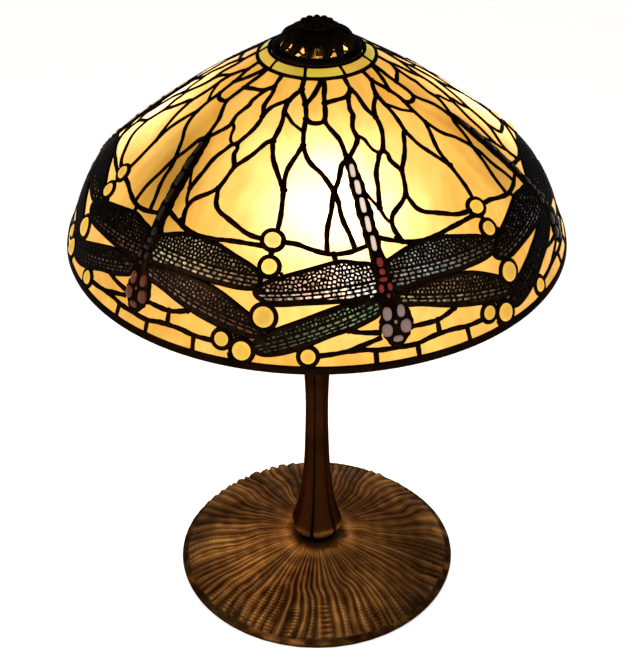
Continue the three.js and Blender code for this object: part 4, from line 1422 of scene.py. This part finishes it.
class Ribs:
    """The ribs of the foot: everything that stays the same along one column of corners."""

    def __init__(self):
        draw = np.random.default_rng(5)
        edges = (np.arange(RIBS) + draw.uniform(-0.2, 0.2, RIBS)) * 360 / RIBS
        widths = np.diff(np.append(edges, edges[0] + 360))
        rib = np.repeat(np.arange(RIBS), len(ACROSS))
        self.across = np.tile(ACROSS, RIBS)
        self.degrees = edges[rib] + self.across * widths[rib] + LADDER_AZIMUTH
        self.begin = draw.uniform(RIB_START, RIB_START + 5, RIBS)[rib]
        self.end = draw.uniform(*RIB_ENDS, RIBS)[rib]
        self.tall = draw.uniform(0.6, 1.25, RIBS)[rib]
        peak = draw.uniform(0.3, 0.7, RIBS)[rib]
        self.side = np.where(self.across < peak, self.across / peak, (1 - self.across) / (1 - peak))
        broad = 2 + 3 * (1 - near(self.degrees, -8, 35))
        plateau = 1 - (1 - self.side) ** (broad * draw.uniform(0.7, 1.3, RIBS)[rib])
        self.crest = np.exp(-((self.across - peak) / CREST_WIDTH) ** 2)
        self.ridge = 0.8 * plateau + 0.2 * self.crest
        flute = draw.uniform(0.25, 0.75, RIBS)[rib]
        fluted = (draw.uniform(0, 1, RIBS) < FLUTED_SHARE)[rib]
        self.flute = np.exp(-((self.across - flute) / FLUTE_WIDTH) ** 2) * fluted
        self.beaded = (draw.uniform(0, 1, RIBS) < BEADED_SHARE)[rib]
        self.bead_start = draw.uniform(68, 98, RIBS)[rib]
        self.bead_phase = draw.uniform(0, 6, RIBS)[rib]
        self.tone = draw.uniform(-0.14, 0.14, RIBS)[rib]

    def azimuths(self, radius):
        """Azimuths of the columns at one radius: the ribs sway and bend as they run outwards."""
        reach = ramp(radius, RIB_START, RIB_RISE)
        degrees = self.degrees
        for _ in range(6):
            angle = np.radians(degrees)
            sway = 0.9 * reach * (np.sin(3 * angle + 0.05 * radius + 0.6)
                                  + 0.6 * np.sin(7 * angle - 0.09 * radius + 2.1)
                                  + 0.35 * np.sin(17 * angle + 0.13 * radius))
            for azimuth, middle, spread, sharpness, shift in BENDS:
                passed = 1 + math.tanh((radius - middle) / sharpness)
                sway += shift / 2 * near(degrees, azimuth, spread) * passed
            degrees = self.degrees - sway
        return degrees

    def row(self, radius):
        """Azimuths, rib heights, wear with painted light and shade, and how far the ribs run over the rim, at
        one radius.
        """
        reach = ramp(radius, RIB_START, RIB_RISE)
        degrees = self.azimuths(radius)
        angle = np.radians(degrees)
        toothed = sum(share * near(degrees, azimuth, spread) for azimuth, spread, share in TOOTHED)
        toothed = np.clip(toothed, 0, 1)
        end = self.end + (129.5 - self.end) * toothed
        fade = ramp(radius, self.begin, 4) * ramp_down(radius, end, 1.5)
        east, north = radius * np.sin(angle), radius * np.cos(angle)
        patch = np.clip(0.95 + 0.35 * smooth_noise(0.06 * east, 0.06 * north, 3), 0.65, 1)
        fine = smooth_noise(0.5 * east, 0.5 * north, 4)
        depth = 0.2 * reach + 0.5 * ramp_down(radius, *DEEP_FLUTE_END)
        ridge = (self.ridge - self.flute * depth) * patch
        front = 0.3 + 0.7 * near(degrees, -18, 40)
        beads = np.cos((radius - self.bead_phase) * 2 * np.pi / BEAD_SPACING)
        beads = np.where(self.beaded, beads, 0) * self.side * ramp(radius, self.bead_start, 8) * front
        ladder = near(degrees, LADDER_AZIMUTH, 2.4) * ramp(radius, *LADDER_START)
        bars = math.cos(radius * 2 * math.pi / (1.5 * BEAD_SPACING))
        beads = (beads * (1 - ladder) + 1.2 * ladder * bars) * fade
        ridge = ridge * (1 - ladder) + 0.6 * ladder
        swell = reach * (np.sin(3 * angle + 0.07 * radius) + np.sin(8 * angle - 0.06 * radius + 1))
        hollow = sum(near(degrees, azimuth, spread) for azimuth, spread in HOLLOWS)
        hollow = hollow * ramp(radius, *HOLLOW_START)
        lift = RIB_HEIGHT * self.tall * ridge * fade * (0.22 + 0.78 * reach) * (1 - 0.7 * hollow)
        lift += 0.5 * beads
        lift *= 1 + 1.1 * toothed * ramp(radius, *TOOTH_START)
        lift += (0.8 * swell + 0.3 * fine) * ramp_down(radius, *SWELL_END)
        # Rubbed wear on the ridges with painted highlights along the crests, lighter bead tops and darker
        # dips between them, darker hollows by the rim, and a lighter ring round the stem, painted light that
        # lifts the shade there.
        worn = 0.06 + self.tone + fade * (0.56 * ridge + 0.22 * self.crest) + 0.3 * beads + 0.1 * swell
        worn += 0.1 * fine - 0.4 * hollow + 0.42 * math.exp(-((radius - 29) / 8) ** 2)
        return degrees, lift, worn, toothed


def make_foot():
    """The round cast foot with wavy radial ribs, many of them beaded, that run out to a thin rim."""
    ribs = Ribs()
    rows = smooth_rows(FOOT_PROFILE[:SMOOTH_ROWS + 1], 2.1)[:-1]
    rows += smooth_rows(FOOT_PROFILE[SMOOTH_ROWS:], 0.82)
    points, worn = [], []
    count = len(ribs.degrees)
    degrees = ribs.azimuths(rows[0][0])
    for radius, height in FOOT_HUB:
        points.append(circle_row(np.radians(degrees), radius, height))
        worn.append(np.full(count, 0.2))
    for radius, height in rows:
        degrees, lift, rib_wear_and_light, toothed = ribs.row(radius)
        angle = np.radians(degrees)
        on_top = ramp_down(radius, RIM_EDGE + 0.6 * toothed, 1.5) * (height > 3.5)
        short = sum(near(degrees, azimuth, spread) for azimuth, spread in SHORT_RIM)
        cast = 1 - SHORT_SHARE * short * min(1, radius / 100) ** 3
        scallop = SCALLOP_DEPTH * toothed * (1 - ribs.ridge) * ramp(radius, *SCALLOP_START)
        points.append(circle_row(angle, radius * cast - scallop, height + on_top * (lift - 0.5)))
        east, north = radius * np.sin(angle), radius * np.cos(angle)
        # The edge of the rim: patchy wear with a painted highlight towards the front, and painted shade lower
        # down the edge.
        rubbed_and_highlit = 0.06 + 0.25 * near(degrees, -15, 30) + 0.4 * smooth_noise(0.3 * east, 0.3 * north, 6)
        rubbed_and_highlit *= float(np.interp(height, [2.5, 4.2], [0.1, 1]))
        worn.append(rib_wear_and_light if radius < RIM_START else rubbed_and_highlit * (1 - toothed) + rib_wear_and_light * toothed)
    for radius, height in FOOT_UNDERSIDE:
        points.append(circle_row(angle, radius * (cast if radius > 115 else 1), height))
        worn.append(np.full(count, 0.05))
    faces = ring_faces(len(points), count, closed_path=True)
    shape = Shape()
    shape.add(np.concatenate(points), [face[::-1] for face in faces], worn=np.concatenate(worn))
    shape.build("ribbed_foot", BASE_SURFACE, "stand", "base_bronze", ["base_casting"])


# ---------- inside the shade ----------
def along_socket(points, light):
    """Turns points built round +Z so that they lie along one socket's axis."""
    lean = math.radians(90 - SOCKET_TILT)
    x, y, z = np.asarray(points).T
    y, z = y * math.cos(lean) - z * math.sin(lean), y * math.sin(lean) + z * math.cos(lean)
    turn = math.radians(LIGHT_AZIMUTH + light * 360 / LIGHTS)
    return np.stack([x * math.cos(turn) - y * math.sin(turn), x * math.sin(turn) + y * math.cos(turn),
                     z + SOCKET_AXIS_HEIGHT], -1)


def make_socket(light):
    """The shell of one lamp holder."""
    shell = rounded([(0, 27.1), (10.6, 27.1), (13, 31), (15.6, 34.6), (15.9, 37), (15.2, 39), (15.9, 41),
                     (15.9, 56), (15.2, 57.4), (15.9, 58.8), (15.9, 66.4), (15.2, 67), (13.5, 67),
                     (13.5, 41.2), (0, 41.2)], 0.7)
    shape = Shape()
    points, faces = revolve(shell, 72)
    shape.add(along_socket(points, light), faces)
    number = light + 1
    shape.build(f"socket_{number}", BRASS_SURFACE, "stand", "brass_fittings", [f"socket_shell_{number}"])


def make_bulb(light):
    """One lit bulb."""
    cap = [(12.9, 45), (6, 41.6), (0, 41.6)]
    envelope = [(12.9, 68), (13.6, 70.5), (16.6, 74.5), (20, 78), (22.6, 83), (23.4, 88), (22.6, 94),
                (20, 100.6), (15.6, 106.5), (9, 110.6), (3.5, 111.8), (0, 112)]
    shape = Shape()
    points, faces = revolve(smooth_rows(envelope, 2.0)[::-1] + cap, 64)
    shape.add(along_socket(points, light), [face[::-1] for face in faces])
    number = light + 1
    shape.build(f"bulb_glass_{number}", BULB_SURFACE, "stand", "bulb_glass", [f"bulb_{number}"])


def make_chain(light):
    """The bead chain of one switch, round its core, with a bell at the end."""
    turn = math.radians(LIGHT_AZIMUTH + light * 360 / LIGHTS)
    offset = np.array((CHAIN_RADIUS * math.sin(turn), -CHAIN_RADIUS * math.cos(turn), 0))
    shape = Shape()
    for i in range(CHAIN_BEADS):
        points, faces = bead((0, 0, CHAIN_TOP - 1.6 - BEAD_PITCH * i), 1.5, sides=12, rings=8)
        shape.add(points + offset, faces)
    end = CHAIN_TOP - BEAD_PITCH * CHAIN_BEADS
    points, faces = revolve([(0, end - 1), (0.6, end - 1), (0.6, CHAIN_TOP), (0, CHAIN_TOP)], 10)
    shape.add(points + offset, faces)
    bell_top = end + 0.4
    drop = rounded([(0, 306.2), (3.4, 306.2), (4.7, 307), (4.7, 308.4), (3.4, 311.6), (2.2, 317),
                    (2.6, bell_top - 1), (1.4, bell_top), (0, bell_top)], 0.5)
    points, faces = revolve(drop, 28)
    shape.add(points + offset, faces)
    number = light + 1
    shape.build(f"bead_chain_{number}", BRASS_SURFACE, f"pull_switch_{number}", "brass_fittings",
                [f"pull_chain_{number}"])


def finish_cad_nodes():
    """Finishes for the CAD pieces that stay as they are."""
    looks = {"felt_ring": FELT_SURFACE, "base_cover_plate": IRON_SURFACE, "ballast_ring": IRON_SURFACE,
             "cord_bushing": RUBBER_SURFACE}
    brass = ["aperture_ring", "base_nut", "base_washer", "lamp_pipe", "cluster_body", "riser_pipe",
             "shade_wheel", "wheel_nut"]
    brass += [f"socket_arm_{light + 1}" for light in range(LIGHTS)]
    looks.update({name: BRASS_SURFACE for name in brass})
    for name, look in looks.items():
        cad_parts[name].material_slots[0].material = look


# ---------- stage ----------
FLOOR_HALF = 30
SKY_FADE = (("From Min", 0.03), ("From Max", 0.4), ("To Min", 0.95), ("To Max", 0.22))
# Soft lights: name, place, target, size, watts and colour.
SOFT_LIGHTS = [
    ("key", (-1.3, -0.9, 1.1), (0, 0, 0.05), 0.35, 8, (1.0, 0.86, 0.66)),
    ("fill", (1.4, -0.7, 1.2), (0, 0, 0.1), 1.0, 3, (0.95, 0.97, 1.0)),
]
GLOW_PLACE, GLOW_WATTS, GLOW_SIZE = (-0.03, 0.03, 0.37), 2.6, 0.03


def make_camera():
    """A camera that looks down on the lamp from in front."""
    camera = bpy.data.objects.new("camera", bpy.data.cameras.new("camera"))
    bpy.context.collection.objects.link(camera)
    camera.location = CAMERA_PLACE
    camera.rotation_euler = (math.radians(90 - CAMERA_PITCH), 0, 0)
    camera.data.lens = CAMERA_LENS
    camera.data.sensor_width = CAMERA_SENSOR
    camera.data.shift_x = CAMERA_SHIFT
    bpy.context.scene.camera = camera


def area_light(name, place, target, size, watts, colour):
    """A round soft light that shines towards the target."""
    data = bpy.data.lights.new(name, "AREA")
    data.shape, data.size, data.energy, data.color = "DISK", size, watts, colour
    light = bpy.data.objects.new(name, data)
    bpy.context.collection.objects.link(light)
    light.location = place
    light.rotation_euler = (Vector(target) - Vector(place)).to_track_quat("-Z", "Y").to_euler()


def make_floor():
    """A pale floor."""
    mesh = bpy.data.meshes.new("floor")
    corners = [(-FLOOR_HALF, -FLOOR_HALF, 0), (FLOOR_HALF, -FLOOR_HALF, 0),
               (FLOOR_HALF, FLOOR_HALF, 0), (-FLOOR_HALF, FLOOR_HALF, 0)]
    mesh.from_pydata(corners, [], [(0, 1, 2, 3)])
    floor = bpy.data.objects.new("floor", mesh)
    bpy.context.collection.objects.link(floor)
    look = Surface("floor", Roughness=0.9, Base_Color=(0.93, 0.93, 0.93, 1),
                   Emission_Color=(1, 1, 1, 1), Emission_Strength=0.7, Specular_IOR_Level=0.1)
    mesh.materials.append(look.material)


def make_sky():
    """A white sky that darkens upwards."""
    world = bpy.data.worlds.new("studio")
    world.use_nodes = True
    sky = world.node_tree
    place = sky.nodes.new("ShaderNodeTexCoord")
    height = sky.nodes.new("ShaderNodeSeparateXYZ")
    fade = sky.nodes.new("ShaderNodeMapRange")
    for socket, value in SKY_FADE:
        fade.inputs[socket].default_value = value
    sky.links.new(place.outputs["Generated"], height.inputs["Vector"])
    sky.links.new(height.outputs["Z"], fade.inputs["Value"])
    sky.links.new(fade.outputs["Result"], sky.nodes["Background"].inputs["Strength"])
    sky.nodes["Background"].inputs["Color"].default_value = (1, 1, 1, 1)
    bpy.context.scene.world = world


def make_lights():
    """Two soft lights in the room, and the glow that the lamp gives inside its shade."""
    for soft_light in SOFT_LIGHTS:
        area_light(*soft_light)
    lamp = bpy.data.lights.new("lamp_glow", "POINT")
    lamp.energy, lamp.color, lamp.shadow_soft_size = GLOW_WATTS, (1.0, 0.72, 0.4), GLOW_SIZE
    glow = bpy.data.objects.new("lamp_glow", lamp)
    glow.location = GLOW_PLACE
    bpy.context.collection.objects.link(glow)


bpy.context.scene.view_settings.view_transform = "Standard"
make_camera()
make_floor()
make_sky()
make_lights()
for sector in range(REPEATS):
    make_sheets(sector)
    make_jewels(sector)
    make_leading(sector)
    make_filigree(sector)
    make_dragonfly(sector)
make_crown()
make_rim()
make_cap()
make_finial()
make_stem()
make_foot()
for bulb in range(LIGHTS):
    make_socket(bulb)
    make_bulb(bulb)
    make_chain(bulb)
finish_cad_nodes()
